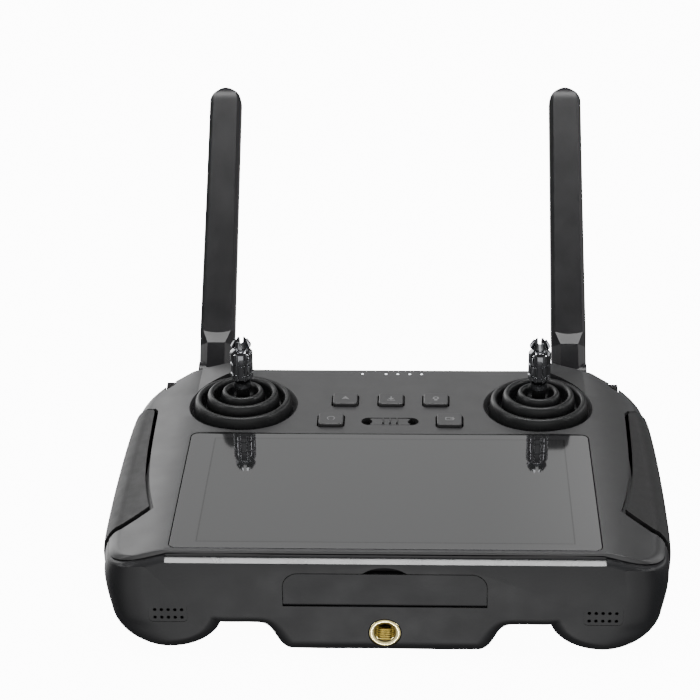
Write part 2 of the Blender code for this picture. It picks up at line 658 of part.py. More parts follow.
# ---------------------------------------------------------------- keys and mode switch
def make_keys():
    w, d, h = KEY
    for name, (x, y) in KEYS.items():
        bm = bmesh.new()
        ring = [bm.verts.new(mm(px, py, KEY_TOP - h)) for px, py in rounded_rect(w, d, 1.2, x, y, 3)]
        base = bm.faces.new(ring)
        grown = bmesh.ops.extrude_face_region(bm, geom=[base])
        top = [v for v in grown["geom"] if isinstance(v, bmesh.types.BMVert)]
        bmesh.ops.translate(bm, vec=mm(0, 0, h - 0.35), verts=top)
        cap = [f for f in grown["geom"] if isinstance(f, bmesh.types.BMFace)]
        grown = bmesh.ops.extrude_face_region(bm, geom=cap)
        rim = [v for v in grown["geom"] if isinstance(v, bmesh.types.BMVert)]
        middle = mm(x, y, 0)
        for v in rim:
            v.co.x = middle.x + (v.co.x - middle.x) * (w - 0.8) / w
            v.co.y = middle.y + (v.co.y - middle.y) * (d - 0.8) / d
            v.co.z = mm(KEY_TOP)
        bmesh.ops.delete(bm, geom=cap, context="FACES")
        finish_part(new_object(name, mesh_from(bm, name)), name, "key")
    mat = box((-28, 18.0, 33.2), (28, 46.0, 34.6), bevel=0.0)
    cut(mat, box((-12.5, SLIDER_Y - 3.4, 30), (12.7, SLIDER_Y + 3.4, 40)))
    finish_part(mat, "key_mat", "rubber")
    knob = prism(rounded_rect(15.0, 4.6, 1.3, 0.1, SLIDER_Y, 3), 36.4, 39.1, name="mode_slider")
    for i in (-1, 0, 1):
        x = 0.1 + i * 2.5
        join(knob, prism([(x - 0.55, 38.6), (x + 0.55, 38.6), (x + 0.3, 40.0), (x - 0.3, 40.0)],
                         SLIDER_Y - 1.9, SLIDER_Y + 1.9, axis="Y"))
    join(knob, box((-1.4, SLIDER_Y - 1.0, 32.4), (1.6, SLIDER_Y + 1.0, 37.0)))
    finish_part(knob, "mode_slider", "key")
    switch = box((-7.4, SLIDER_Y - 2.9, 28.4), (7.6, SLIDER_Y + 2.9, 32.9), bevel=0.4)
    cut(switch, box((-4.4, SLIDER_Y - 1.4, 31.9), (4.6, SLIDER_Y + 1.4, 36)))
    finish_part(switch, "mode_switch", "steel")


# ---------------------------------------------------------------- sticks
FRAME = (33.0, 13.7, 21.4, 33.0)     # outside, opening radius, bottom, top
RING = (12.3, 8.4, 2.8)              # outer radius, inner radius, half height
NECK_R = 2.5


def make_gimbals():
    pivot = GIMBAL[2]
    outside, opening, low, high = FRAME
    outer, inner, half = RING
    for word, side in SIDES.items():
        cx, cy = side * GIMBAL[0], GIMBAL[1]
        inward = -side
        frame = prism(rounded_rect(outside, outside, 3.0, cx, cy, 2), low, high)
        cut(frame, cylinder((cx, cy, pivot), opening, 30, sides=40))
        cut(frame, cylinder((cx, cy, pivot), 1.9, 60, axis="X", sides=14))
        finish_part(frame, f"{word}_gimbal_frame", "case")

        ring = cylinder((cx, cy, pivot), outer, 2 * half, sides=36)
        reach = 21.8
        axle_x = cx + inward * (reach - 15.9) / 2
        join(ring, cylinder((axle_x, cy, pivot), 1.5, reach + 15.9, axis="X", sides=14))
        cut(ring, cylinder((cx, cy, pivot), inner, 20, sides=36))
        cut(ring, cylinder((cx, cy, pivot), 1.8, 40, axis="Y", sides=14))
        finish_part(ring, f"{word}_gimbal_ring", "dark_metal")

        turns, per_turn, coil_r = 3.5, 10, 2.5
        coil = []
        for i in range(int(turns * per_turn) + 1):
            a = 2 * math.pi * i / per_turn
            coil.append((cx + inward * (17.4 + 1.05 * i / per_turn), cy + coil_r * math.cos(a),
                         pivot + coil_r * math.sin(a)))
        wire(coil, 0.3, f"{word}_pitch_spring", "steel", 1)

        shaft = turned([(NECK_R, 46.2), (NECK_R, pivot + 3.4), (3.6, pivot + 2.4), (3.6, pivot - 2.4),
                        (1.8, pivot - 4.4), (0, pivot - 4.4), (0, 52.0), (1.5, 52.0), (1.5, 46.2)],
                       "shaft", centre=(cx, cy, 0), sides=20)
        join(shaft, cylinder((cx, cy, pivot), 1.4, 21.6, axis="Y", sides=12))
        finish_part(shaft, f"{word}_stick_shaft", "case")
        make_stick_end(word, cx, cy)
        make_boot(word, cx, cy)
        sensor_x = cx + side * 19.4
        sensor = box((sensor_x - 1.5, cy - 5, pivot - 5), (sensor_x + 1.5, cy + 5, pivot + 5), bevel=0.6)
        finish_part(sensor, f"{word}_tilt_sensor", "board")


def make_stick_end(word, cx, cy):
    """Turned metal tip with two grooves, eight flutes and a crown of teeth."""
    r = 4.05
    profile = [(2.2, 62.4), (3.2, 62.0), (3.9, 61.2), (r, 60.6), (r, 56.8), (r - 0.5, 56.6), (r - 0.5, 56.2),
               (r, 56.0), (r, 52.8), (r - 0.5, 52.6), (r - 0.5, 52.2), (r, 52.0), (r, 50.4), (3.6, 49.8),
               (3.0, 48.6), (3.0, 46.6), (1.8, 46.6), (1.8, 52.6), (0, 52.6), (0, 62.4)]
    tip = turned(profile, "tip", centre=(cx, cy, 0), sides=24)
    crown = turned([(3.75, STICK_TOP - 1.7), (3.75, 63.2), (2.4, 61.6), (0, 61.6), (0, 63.2), (1.5, 63.2),
                    (2.1, STICK_TOP), (2.7, STICK_TOP)], "crown", centre=(cx, cy, 0), sides=24)
    join(tip, crown)
    for i in range(4):
        a = math.radians(45 * i)
        saw = box((-9, -0.55, 63.0), (9, 0.55, STICK_TOP + 2))
        saw.data.transform(Matrix.Translation(mm(cx, cy, 0)) @ Matrix.Rotation(a, 4, "Z"))
        cut(tip, saw)
    finish_part(tip, f"{word}_stick_end", "dark_metal")


def make_boot(word, cx, cy):
    """Rubber bellows of three rings between the dish floor and the stick's neck."""
    top = [(18.9, 36.2), (17.9, 36.4), (17.6, 39.5), (17.3, 41.4), (16.1, 42.25), (15.2, 41.7), (14.9, 40.4),
           (14.6, 37.9), (13.5, 37.6), (13.1, 40.5), (12.75, 43.5), (11.6, 44.5), (10.6, 43.7), (10.3, 41.8),
           (10.0, 38.8), (8.3, 38.8), (8.0, 41.8), (7.5, 44.4), (6.5, 45.2), (5.6, 44.4), (5.3, 42.6),
           (4.3, 41.2), (3.1, 41.4), (2.95, 43.0)]
    under = [(2.8, 43.0), (2.8, 37.4), (4.6, 37.2), (9.6, 36.6), (14.0, 35.8), (14.9, 35.4), (18.9, 35.4)]
    boot = turned(top + under, "boot", centre=(cx, cy, 0), sides=22)
    finish_part(boot, f"{word}_boot", "rubber")


# ---------------------------------------------------------------- antennas
def hinge_frame(side):
    """World matrix of an antenna lying along its own +Y from the hinge axis."""
    place = Matrix.Translation(mm(side * ANTENNA_X, *HINGE))
    return place @ Matrix.Rotation(math.radians(ANTENNA_TILT), 4, "X")


def make_antennas():
    w, t = ANTENNA
    for word, side in SIDES.items():
        bm = bmesh.new()
        rings = []
        # distance along, half width, upper face, lower face, flat half width of the upper face
        stations = ((0.0, 6.4, 4.2, -4.2, 3.6), (2.5, 6.5, 4.7, -4.3, 3.3), (4.5, 6.5, 4.9, -4.3, 3.3),
                    (10.9, 6.5, 4.9, -4.3, 3.3), (16.0, 6.6, 3.7, -4.3, 5.2), (30.0, 6.5, 3.7, -4.3, 5.0),
                    (108.6, 6.1, 3.5, -4.1, 4.6))
        for y, half, up, down, flat in stations:
            rings.append([(half, 0.6), (half - 0.1, up - 1.1 if flat > 4 else 0.9), (flat, up), (-flat, up),
                          (-half + 0.1, up - 1.1 if flat > 4 else 0.9), (-half, 0.6), (-half, down + 1.6),
                          (-half + 1.6, down), (half - 1.6, down), (half, down + 1.6)])
        made = [[bm.verts.new(mm(x, s[0], z)) for x, z in ring] for s, ring in zip(stations, rings)]
        tip_y, last = stations[-1][0], rings[-1]
        for turn in (22, 45, 68, 84):
            a = math.radians(turn)
            reach = stations[-1][1]
            thin = 1 - 0.35 * math.sin(a) ** 3
            made.append([bm.verts.new(mm(x * math.cos(a), tip_y + reach * math.sin(a), z * thin))
                         for x, z in last])
        for a, b in zip(made, made[1:]):
            for i in range(len(a)):
                j = (i + 1) % len(a)
                bm.faces.new((a[i], a[j], b[j], b[i]))
        bm.faces.new(made[0][::-1])
        bm.faces.new(made[-1])
        paddle = new_object("paddle", mesh_from(bm, "paddle"))
        knuckle = turned([(0, -6.4), (3.3, -6.4), (4.25, -5.4), (4.25, 5.4), (3.3, 6.4), (0, 6.4)],
                         "knuckle", sides=24)
        knuckle.data.transform(Matrix.Rotation(math.radians(90), 4, "Y"))
        join(paddle, knuckle)
        cut(paddle, box((-3.35, -6, -7), (3.35, 4.7, 7)))
        cut(paddle, cylinder((0, 0, 0), 1.5, 30, axis="X", sides=14))
        paddle.data.transform(hinge_frame(side))
        finish_part(paddle, f"{word}_antenna", "case")

        ax, (hy, hz) = side * ANTENNA_X, HINGE
        bracket = box((ax - 6.5, REAR + GAP, 24.4), (ax + 6.5, hy + 3.8, 29.0), bevel=0.8)
        tongue = [(hy - 4.2, 27.0), (hy + 4.2, 27.0), *arc(hy, hz, 4.2, 0, 180, 10)]
        join(bracket, prism(tongue, ax - 3.0, ax + 3.0, axis="X"))
        cut(bracket, cylinder((ax, hy, hz), 1.5, 30, axis="X", sides=14))
        finish_part(bracket, f"{word}_antenna_bracket", "case")
        pin = cylinder((ax, hy, hz), 1.15, 12.6, axis="X", sides=14)
        finish_part(pin, f"{word}_antenna_pin", "steel")


# ---------------------------------------------------------------- shoulder dials and screws
def make_dials():
    x, y, z = DIAL
    for word, side in SIDES.items():
        cx = side * x
        wheel = cylinder((cx, y, z), DIAL_R, DIAL_WIDTH, axis="X", sides=24)
        bm = bmesh.new()
        bm.from_mesh(wheel.data)
        bmesh.ops.bevel(bm, geom=[e for e in bm.edges if abs(e.verts[0].co.x - e.verts[1].co.x) < 1e-6],
                        offset=mm(0.6), segments=1, affect="EDGES", profile=0.5)
        bm.to_mesh(wheel.data)
        bm.free()
        cut(wheel, cylinder((cx, y, z), 1.5, 20, axis="X", sides=12))
        finish_part(wheel, f"{word}_dial", "case")
        shaft = cylinder((side * 79.6, y, z), 1.2, 8.6, axis="X", sides=12)
        finish_part(shaft, f"{word}_dial_shaft", "steel")
        low, high = sorted((side * 70.6, side * 77.2))
        encoder = box((low, y - 5.4, z - 4.6), (high, y + 2.0, z + 3.4), bevel=0.5)
        cut(encoder, cylinder((side * 77.2, y, z), 1.5, 5.2, axis="X", sides=12))
        finish_part(encoder, f"{word}_dial_encoder", "steel")


def make_screws():
    for word, side in SIDES.items():
        for place, (x, y, seat), tip in zip(("front", "rear"), SCREWS, (31.0, 31.0)):
            screw = turned([(1.2, tip), (1.2, seat + 2.0), (2.5, seat + 2.0), (2.5, seat + 0.5), (2.1, seat),
                            (0, seat), (0, tip)], "screw", centre=(side * x, y, 0), sides=12)
            slot = cylinder((side * x, y, seat), 1.0, 2.0, sides=6)
            cut(screw, slot)
            finish_part(screw, f"{place}_{word}_screw", "steel")


# ---------------------------------------------------------------- joint axes
def set_pivot(point, *names):
    """Puts the origin of each named piece on its joint's axis, leaving the piece where it is."""
    for name in names:
        thing = bpy.data.objects[name]
        thing.data.transform(Matrix.Translation(-mm(*point)))
        thing.location = mm(*point)


def set_pivots():
    for word, side in SIDES.items():
        set_pivot((side * GIMBAL[0], GIMBAL[1], GIMBAL[2]), f"{word}_gimbal_ring", f"{word}_stick_shaft",
                  f"{word}_stick_end", f"{word}_pitch_spring")
        set_pivot((side * DIAL[0], DIAL[1], DIAL[2]), f"{word}_dial", f"{word}_dial_shaft")
        set_pivot((side * ANTENNA_X, *HINGE), f"{word}_antenna", f"{word}_antenna_pin")
    for name, (x, y) in KEYS.items():
        set_pivot((x, y, KEY_TOP), name)
    set_pivot((0.1, SLIDER_Y, DECK), "mode_slider")
    set_pivot((0, FRONT + COVER[2] / 2, COVER_BOTTOM + COVER[2] / 2), "port_cover")


make_top_shell()
make_bottom_shell()
make_ports()
make_port_cover()
make_insert()
make_screen()
make_boards()
make_lights()
make_grips()
make_keys()
make_gimbals()
make_antennas()
make_dials()
make_screws()
set_pivots()
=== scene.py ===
"""Looks of the handheld radio transmitter controller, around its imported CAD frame.

Sizes are in millimetres in the frame's axes, turned into metres by mm(). The outer skins repeat the CAD's own
forms at a finer resolution, and ride on the same bodies.
"""
import math

import bmesh
import bpy
from mathutils import Matrix, Vector


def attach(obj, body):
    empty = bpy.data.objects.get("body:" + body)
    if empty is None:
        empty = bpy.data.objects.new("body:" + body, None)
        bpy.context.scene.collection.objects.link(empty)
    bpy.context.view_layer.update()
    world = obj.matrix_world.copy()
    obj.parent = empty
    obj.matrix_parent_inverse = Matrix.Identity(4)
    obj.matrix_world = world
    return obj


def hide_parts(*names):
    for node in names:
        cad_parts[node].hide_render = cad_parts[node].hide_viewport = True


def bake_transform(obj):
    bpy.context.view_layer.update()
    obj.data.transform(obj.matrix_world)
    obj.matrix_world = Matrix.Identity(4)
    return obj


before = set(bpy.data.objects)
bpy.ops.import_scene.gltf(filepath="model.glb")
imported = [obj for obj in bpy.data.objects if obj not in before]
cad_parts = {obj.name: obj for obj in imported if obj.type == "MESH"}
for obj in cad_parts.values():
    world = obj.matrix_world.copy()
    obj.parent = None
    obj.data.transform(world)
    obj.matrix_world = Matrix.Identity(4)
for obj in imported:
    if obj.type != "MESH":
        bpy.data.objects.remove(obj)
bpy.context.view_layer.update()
SIDES = {"left": -1, "right": 1}

# ---------------------------------------------------------------- dimensions shared with the CAD (mm)
HALF_WIDTH, FRONT, REAR, DECK, LID_FRONT, SEAM = 95.0, -64.8, 65.5, 39.0, -63.1, 37.5
FLAT_HALF, WIDEST, CHANNEL, WALL, LOBE_X = 71.5, 26.0, 10.6, 2.6, 71.5
DECK_FALL, SEAM_FALL = math.tan(math.radians(15.0)), math.tan(math.radians(15.5))
CORNER, CORNER_X = 13.0, 80.0
GLASS = (140.2, 76.6, 1.5)
GLASS_FRONT = -61.5
GIMBAL = (53.6, 37.0, 28.0)
DISH_R, DISH_FLOOR, SOCKET_R, STICK_TOP = 19.4, 35.0, 16.9, 65.4
KEY, KEY_TOP = (9.1, 8.6, 4.5), 40.15
KEYS = {"key_left": (-16.5, 40.3), "key_middle": (0.2, 40.3), "key_right": (16.5, 40.3),
        "key_lower_left": (-21.1, 24.8), "key_lower_right": (21.4, 24.8)}
KEY_BODY = {"key_left": "key_a", "key_middle": "key_b", "key_right": "key_c", "key_lower_left": "key_d",
            "key_lower_right": "key_e"}
SLIDER_Y, SLOT = 24.7, (20.6, 5.4)
LED_X, LED_Y = (-10.9, -2.1, 2.3, 6.8, 11.2), 62.0
COVER, COVER_BOTTOM, COVER_R = (66.2, 12.2, 1.8), 19.05, 5.0
INSERT_Z, INSERT_R = 8.7, 5.25
SPEAKER_X, SPEAKER_ROWS, SPEAKER_PITCH = 70.9, (17.1, 14.15), 2.21
ANTENNA_X, HINGE, ANTENNA_TILT = 66.7, (70.8, 34.2), 46.0
DIAL, DIAL_R, DIAL_WIDTH = (81.7, 58.0, 30.3), 5.95, 4.6
SCREWS = ((82.0, -46.0, 10.4), (33.5, 59.0, 13.0))
PORTS = ((-14.0, 25.2, 9.0, 3.4), (12.0, 25.4, 15.2, 5.6))
# The lower case's front edge is cut along a slope: it starts at CHAMFER_LOW, CUT_LEAD ahead of the case, and
# reaches CHAMFER_TOP at CHAMFER_DEPTH behind its front.
CUT_LEAD, CHAMFER_DEPTH, CHAMFER_LOW, CHAMFER_TOP, CHAMFER_HALF = 2.0, 2.1, 34.05, 36.3, 71.3
# The lid's strip in front of the glass falls by APRON_FALL, over APRON_HALF to each side.
APRON_FALL, APRON_HALF = 0.53, 71.2


def mm(*values):
    scaled = [v * 0.001 for v in values]
    return scaled[0] if len(scaled) == 1 else Vector(scaled)


# ---------------------------------------------------------------- materials
def new_material(name):
    made = bpy.data.materials.new(name)
    made.use_nodes = True
    return made, made.node_tree, made.node_tree.nodes["Principled BSDF"]


def noise(tree, scale, detail, rough=0.5, stretch=None):
    """Noise read from the piece's own coordinates, in features per metre."""
    where = tree.nodes.new("ShaderNodeTexCoord")
    out = where.outputs["Object"]
    if stretch:
        mapping = tree.nodes.new("ShaderNodeMapping")
        mapping.inputs["Scale"].default_value = stretch
        tree.links.new(out, mapping.inputs["Vector"])
        out = mapping.outputs["Vector"]
    texture = tree.nodes.new("ShaderNodeTexNoise")
    texture.inputs["Scale"].default_value = scale
    texture.inputs["Detail"].default_value = detail
    texture.inputs["Roughness"].default_value = rough
    tree.links.new(out, texture.inputs["Vector"])
    return texture.outputs["Fac"]


def spread(tree, source, low, high):
    """Maps the middle of a noise to low..high."""
    node = tree.nodes.new("ShaderNodeMapRange")
    node.inputs["From Min"].default_value = 0.3
    node.inputs["From Max"].default_value = 0.7
    node.inputs["To Min"].default_value = low
    node.inputs["To Max"].default_value = high
    tree.links.new(source, node.inputs["Value"])
    return node.outputs["Result"]


def two_tone(tree, source, dark, light):
    ramp = tree.nodes.new("ShaderNodeValToRGB")
    ramp.color_ramp.elements[0].position = 0.35
    ramp.color_ramp.elements[1].position = 0.65
    ramp.color_ramp.elements[0].color = (*dark, 1)
    ramp.color_ramp.elements[1].color = (*light, 1)
    tree.links.new(source, ramp.inputs["Fac"])
    return ramp.outputs["Color"]


def bump(tree, shader, height, strength, distance_mm):
    node = tree.nodes.new("ShaderNodeBump")
    node.inputs["Strength"].default_value = strength
    node.inputs["Distance"].default_value = mm(distance_mm)
    tree.links.new(height, node.inputs["Height"])
    tree.links.new(node.outputs["Normal"], shader.inputs["Normal"])


def moulded(name, tone, rough, grain=3200, depth=0.012, vary=0.06, metallic=0.0, specular=0.5, patch=45):
    """Moulded or machined surface: a fine grain, faint cloudiness in tone and in gloss."""
    made, tree, shader = new_material(name)
    dark, light = [c * (1 - vary) for c in tone], [c * (1 + vary) for c in tone]
    tree.links.new(two_tone(tree, noise(tree, patch, 4), dark, light), shader.inputs["Base Color"])
    gloss = spread(tree, noise(tree, patch * 2.5, 5), rough - 0.03, rough + 0.04)
    tree.links.new(gloss, shader.inputs["Roughness"])
    shader.inputs["Metallic"].default_value = metallic
    shader.inputs["Specular IOR Level"].default_value = specular
    bump(tree, shader, noise(tree, grain, 2, 0.6), 0.6, depth)
    return made


def brushed(name, tone, rough, stretch):
    """Turned or drawn metal with fine streaks along one axis."""
    made, tree, shader = new_material(name)
    streaks = noise(tree, 900, 3, 0.6, stretch)
    tree.links.new(two_tone(tree, streaks, [c * 0.85 for c in tone], tone), shader.inputs["Base Color"])
    tree.links.new(spread(tree, streaks, rough - 0.04, rough + 0.06), shader.inputs["Roughness"])
    shader.inputs["Metallic"].default_value = 1.0
    bump(tree, shader, streaks, 0.3, 0.006)
    return made


def screen_material():
    """Black glass over a display whose lit area is a shade apart from its printed border."""
    made, tree, shader = new_material("screen_glass")
    links = tree.links
    where = tree.nodes.new("ShaderNodeTexCoord")
    split = tree.nodes.new("ShaderNodeSeparateXYZ")
    links.new(where.outputs["Object"], split.inputs["Vector"])

    def math_node(operation, a, b):
        node = tree.nodes.new("ShaderNodeMath")
        node.operation = operation
        for socket, value in zip(node.inputs, (a, b)):
            if isinstance(value, (int, float)):
                socket.default_value = value
            else:
                links.new(value, socket)
        return node.outputs["Value"]

    half_w, half_d, middle, half_line, dulled = mm(61.5), mm(34.6), mm(-23.0), mm(0.21), 0.11
    across = math_node("SUBTRACT", math_node("ABSOLUTE", split.outputs["X"], 0.0), half_w)
    from_middle = math_node("SUBTRACT", split.outputs["Y"], middle)
    deep = math_node("SUBTRACT", math_node("ABSOLUTE", from_middle, 0.0), half_d)
    edge = math_node("MAXIMUM", across, deep)
    line = math_node("LESS_THAN", math_node("ABSOLUTE", edge, 0.0), half_line)
    inside = math_node("LESS_THAN", edge, 0.0)
    tone = tree.nodes.new("ShaderNodeValToRGB")
    for element, colour in zip(tone.color_ramp.elements, ((0.020, 0.020, 0.021), (0.016, 0.0165, 0.017))):
        element.color = (*colour, 1)
    links.new(inside, tone.inputs["Fac"])
    dark = tree.nodes.new("ShaderNodeMix")
    dark.data_type = "RGBA"
    dark.inputs["B"].default_value = (0.002, 0.002, 0.002, 1)
    links.new(line, dark.inputs["Factor"])
    links.new(tone.outputs["Color"], dark.inputs["A"])
    links.new(dark.outputs["Result"], shader.inputs["Base Color"])
    links.new(spread(tree, noise(tree, 60, 4), 0.035, 0.055), shader.inputs["Roughness"])
    shader.inputs["IOR"].default_value = 1.75
    shine = math_node("SUBTRACT", 0.5, math_node("MULTIPLY", line, dulled))
    links.new(shine, shader.inputs["Specular IOR Level"])
    return made


def rubber(name, tone, rough):
    made, tree, shader = new_material(name)
    tree.links.new(two_tone(tree, noise(tree, 70, 4), [c * 0.85 for c in tone], [c * 1.12 for c in tone]),
                   shader.inputs["Base Color"])
    tree.links.new(spread(tree, noise(tree, 300, 4), rough - 0.05, rough + 0.05), shader.inputs["Roughness"])
    bump(tree, shader, noise(tree, 2600, 3, 0.65), 0.7, 0.02)
    return made


def pebbled(name, tone, rough):
    """Grip rubber: small close pebbles."""
    made, tree, shader = new_material(name)
    where = tree.nodes.new("ShaderNodeTexCoord")
    cells = tree.nodes.new("ShaderNodeTexVoronoi")
    cells.inputs["Scale"].default_value = 1500
    tree.links.new(where.outputs["Object"], cells.inputs["Vector"])
    tree.links.new(two_tone(tree, noise(tree, 60, 4), [c * 0.9 for c in tone], [c * 1.1 for c in tone]),
                   shader.inputs["Base Color"])
    tree.links.new(spread(tree, noise(tree, 250, 4), rough - 0.04, rough + 0.05), shader.inputs["Roughness"])
    bump(tree, shader, cells.outputs["Distance"], 0.5, 0.03)
    return made


def glowing(name, tone, strength):
    made, tree, shader = new_material(name)
    colour = two_tone(tree, noise(tree, 900, 2), [c * 0.92 for c in tone], tone)
    tree.links.new(colour, shader.inputs["Base Color"])
    shader.inputs["Roughness"].default_value = 0.25
    shader.inputs["Emission Color"].default_value = (*tone, 1)
    shader.inputs["Emission Strength"].default_value = strength
    return made


MATERIALS = {
    "deck": moulded("deck_plastic", (0.032, 0.0323, 0.0333), 0.43, specular=0.8),
    "case": moulded("case_plastic", (0.0145, 0.0147, 0.0165), 0.42),
    # The chamfer's tone, far lighter than the case plastic's, is a painted highlight of the overhead light;
    # its low roughness and high specular are its finish.
    "chamfer": moulded("chamfer_painted_highlight", (0.095, 0.096, 0.098), 0.26, specular=1.0),
    "cover": moulded("cover_plastic", (0.019, 0.0195, 0.0215), 0.45),
    "key": moulded("key_plastic", (0.033, 0.0333, 0.0343), 0.45, grain=3800, specular=0.8),
    "mark": moulded("mark_print", (0.19, 0.19, 0.193), 0.5),
    "antenna": moulded("antenna_plastic", (0.012, 0.0117, 0.0133), 0.31, grain=2600, specular=0.43),
    "neck": moulded("neck_plastic", (0.006, 0.006, 0.006), 0.40),
    "boot": rubber("boot_rubber", (0.010, 0.0105, 0.011), 0.42),
    "grip": pebbled("grip_rubber", (0.0145, 0.0145, 0.015), 0.60),
    "rubber": rubber("plain_rubber", (0.014, 0.014, 0.015), 0.7),
    "glass": screen_material(),
    "steel": brushed("drawn_steel", (0.42, 0.42, 0.43), 0.28, (1, 12, 12)),
    "dark_metal": brushed("dark_metal", (0.16, 0.16, 0.17), 0.22, (1, 1, 10)),
    "polished": moulded("polished_dark_metal", (0.33, 0.335, 0.35), 0.08, grain=1500, depth=0.002,
                        metallic=1.0),
    "brass": brushed("turned_brass", (1.0, 0.86, 0.42), 0.09, (10, 1, 10)),
    "board": moulded("circuit_board", (0.02, 0.10, 0.045), 0.5, grain=900, depth=0.05, patch=240, vary=0.35),
    "light": glowing("lamp_lens", (0.93, 0.95, 1.0), 1.6),
    "cell": moulded("battery_wrap", (0.06, 0.10, 0.24), 0.35, grain=200, depth=0.1),
}


# ---------------------------------------------------------------- making pieces
def link(name, mesh):
    thing = bpy.data.objects.new(name, mesh)
    bpy.context.scene.collection.objects.link(thing)
    return thing


def from_bm(bm, name):
    bmesh.ops.recalc_face_normals(bm, faces=bm.faces)
    mesh = bpy.data.meshes.new(name)
    bm.to_mesh(mesh)
    bm.free()
    return link(name, mesh)


def evaluated(thing):
    graph = bpy.context.evaluated_depsgraph_get()
    graph.update()
    return bpy.data.meshes.new_from_object(thing.evaluated_get(graph))


def boolean(thing, tool, operation):
    step = thing.modifiers.new("b", "BOOLEAN")
    step.operation, step.solver, step.object = operation, "EXACT", tool
    result = evaluated(thing)
    thing.modifiers.remove(step)
    thing.data = result
    bpy.data.objects.remove(tool, do_unlink=True)


def cut(thing, *tools):
    for tool in tools:
        boolean(thing, tool, "DIFFERENCE")


def join(thing, *tools):
    for tool in tools:
        boolean(thing, tool, "UNION")


def finish(thing, finish_name, body=None, nodes=(), edge=0.0, segments=2, angle=30):
    """Cleans a piece, rounds its edges, gives it its material and hangs it on its body."""
    bm = bmesh.new()
    bm.from_mesh(thing.data)
    bmesh.ops.remove_doubles(bm, verts=bm.verts, dist=4e-6)
    bmesh.ops.dissolve_degenerate(bm, edges=bm.edges, dist=2e-6)
    bm.to_mesh(thing.data)
    bm.free()
    thing.data.materials.clear()
    thing.data.materials.append(MATERIALS[finish_name])
    thing.data.shade_smooth()
    thing.data.set_sharp_from_angle(angle=math.radians(angle))
    if edge:
        round_edges(thing, edge, segments, angle)
    if body:
        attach(thing, body)
    if nodes:
        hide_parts(*nodes)


def round_edges(thing, width, segments, angle):
    step = thing.modifiers.new("round", "BEVEL")
    step.width, step.segments, step.limit_method = mm(width), segments, "ANGLE"
    step.angle_limit = math.radians(angle)
    step.use_clamp_overlap = True
    step.harden_normals = True
    step.miter_outer = "MITER_ARC"


def box(low, high):
    bm = bmesh.new()
    bmesh.ops.create_cube(bm, size=1.0)
    bmesh.ops.scale(bm, vec=mm(*[h - a for a, h in zip(low, high)]), verts=bm.verts)
    bmesh.ops.translate(bm, vec=mm(*[(h + a) / 2 for a, h in zip(low, high)]), verts=bm.verts)
    return from_bm(bm, "box")


AXES = {"X": Matrix.Rotation(math.radians(90), 4, "Y"), "Y": Matrix.Rotation(math.radians(-90), 4, "X"),
        "Z": Matrix.Identity(4)}


def cylinder(centre, radius, length, axis="Z", sides=48):
    bm = bmesh.new()
    bmesh.ops.create_cone(bm, cap_ends=True, segments=sides, radius1=mm(radius), radius2=mm(radius),
                          depth=mm(length))
    bmesh.ops.transform(bm, matrix=Matrix.Translation(mm(*centre)) @ AXES[axis], verts=bm.verts)
    return from_bm(bm, "cylinder")


def prism(points, low, high, axis="Z", name="prism"):
    place = {"Z": lambda p, h: (p[0], p[1], h), "Y": lambda p, h: (p[0], h, p[1]),
             "X": lambda p, h: (h, p[0], p[1])}[axis]
    bm = bmesh.new()
    rings = [[bm.verts.new(mm(*place(p, h))) for p in points] for h in (low, high)]
    for i in range(len(points)):
        j = (i + 1) % len(points)
        bm.faces.new((rings[0][i], rings[0][j], rings[1][j], rings[1][i]))
    bm.faces.new(rings[0][::-1])
    bm.faces.new(rings[1])
    return from_bm(bm, name)


def arc(cx, cy, radius, start, end, steps):
    turn = [math.radians(start + (end - start) * i / steps) for i in range(steps + 1)]
    return [(cx + radius * math.cos(a), cy + radius * math.sin(a)) for a in turn]


def rounded_rect(width, depth, radius, cx=0.0, cy=0.0, steps=8):
    w, d = width / 2 - radius, depth / 2 - radius
    points = []
    for sx, sy, start in ((1, 1, 0), (-1, 1, 90), (-1, -1, 180), (1, -1, 270)):
        points += arc(cx + sx * w, cy + sy * d, radius, start, start + 90, steps)
    return points


def smooth_line(points, steps, corner=38):
    """Catmull-Rom through the points, keeping those where the line turns by more than corner degrees."""
    out = []
    count = len(points)
    vectors = [Vector(p) for p in points]

    def sharp(i):
        if i <= 0 or i >= count - 1:
            return True
        a, b = vectors[i] - vectors[i - 1], vectors[i + 1] - vectors[i]
        return a.length > 0 and b.length > 0 and a.angle(b) > math.radians(corner)

    for i in range(count - 1):
        p1, p2 = vectors[i], vectors[i + 1]
        span = (p2 - p1).length
        m1 = (p2 - p1) if sharp(i) else (p2 - vectors[i - 1]).normalized() * span
        m2 = (p2 - p1) if sharp(i + 1) else (vectors[i + 2] - p1).normalized() * span
        for k in range(steps):
            t = k / steps
            h = ((2 * t**3 - 3 * t**2 + 1), (t**3 - 2 * t**2 + t), (-2 * t**3 + 3 * t**2), (t**3 - t**2))
            out.append(tuple(p1 * h[0] + m1 * h[1] + p2 * h[2] + m2 * h[3]))
    return out + [tuple(vectors[-1])]


def turned(profile, name="turned", centre=(0, 0, 0), sides=64, close=True):
    """Turns a (radius, height) line about Z. Points on the axis become one vertex."""
    bm = bmesh.new()
    rings = []
    for r, z in profile:
        if r < 1e-4:
            rings.append([bm.verts.new(mm(centre[0], centre[1], centre[2] + z))])
            continue
        rings.append([bm.verts.new(mm(centre[0] + r * math.cos(2 * math.pi * i / sides),
                                      centre[1] + r * math.sin(2 * math.pi * i / sides), centre[2] + z))
                      for i in range(sides)])
    pairs = list(zip(rings, rings[1:])) + ([(rings[-1], rings[0])] if close else [])
    for a, b in pairs:
        for i in range(sides):
            j = (i + 1) % sides
            if len(a) == 1 and len(b) == 1:
                continue
            if len(a) == 1:
                bm.faces.new((a[0], b[i], b[j]))
            elif len(b) == 1:
                bm.faces.new((a[i], a[j], b[0]))
            else:
                bm.faces.new((a[i], a[j], b[j], b[i]))
    return from_bm(bm, name)


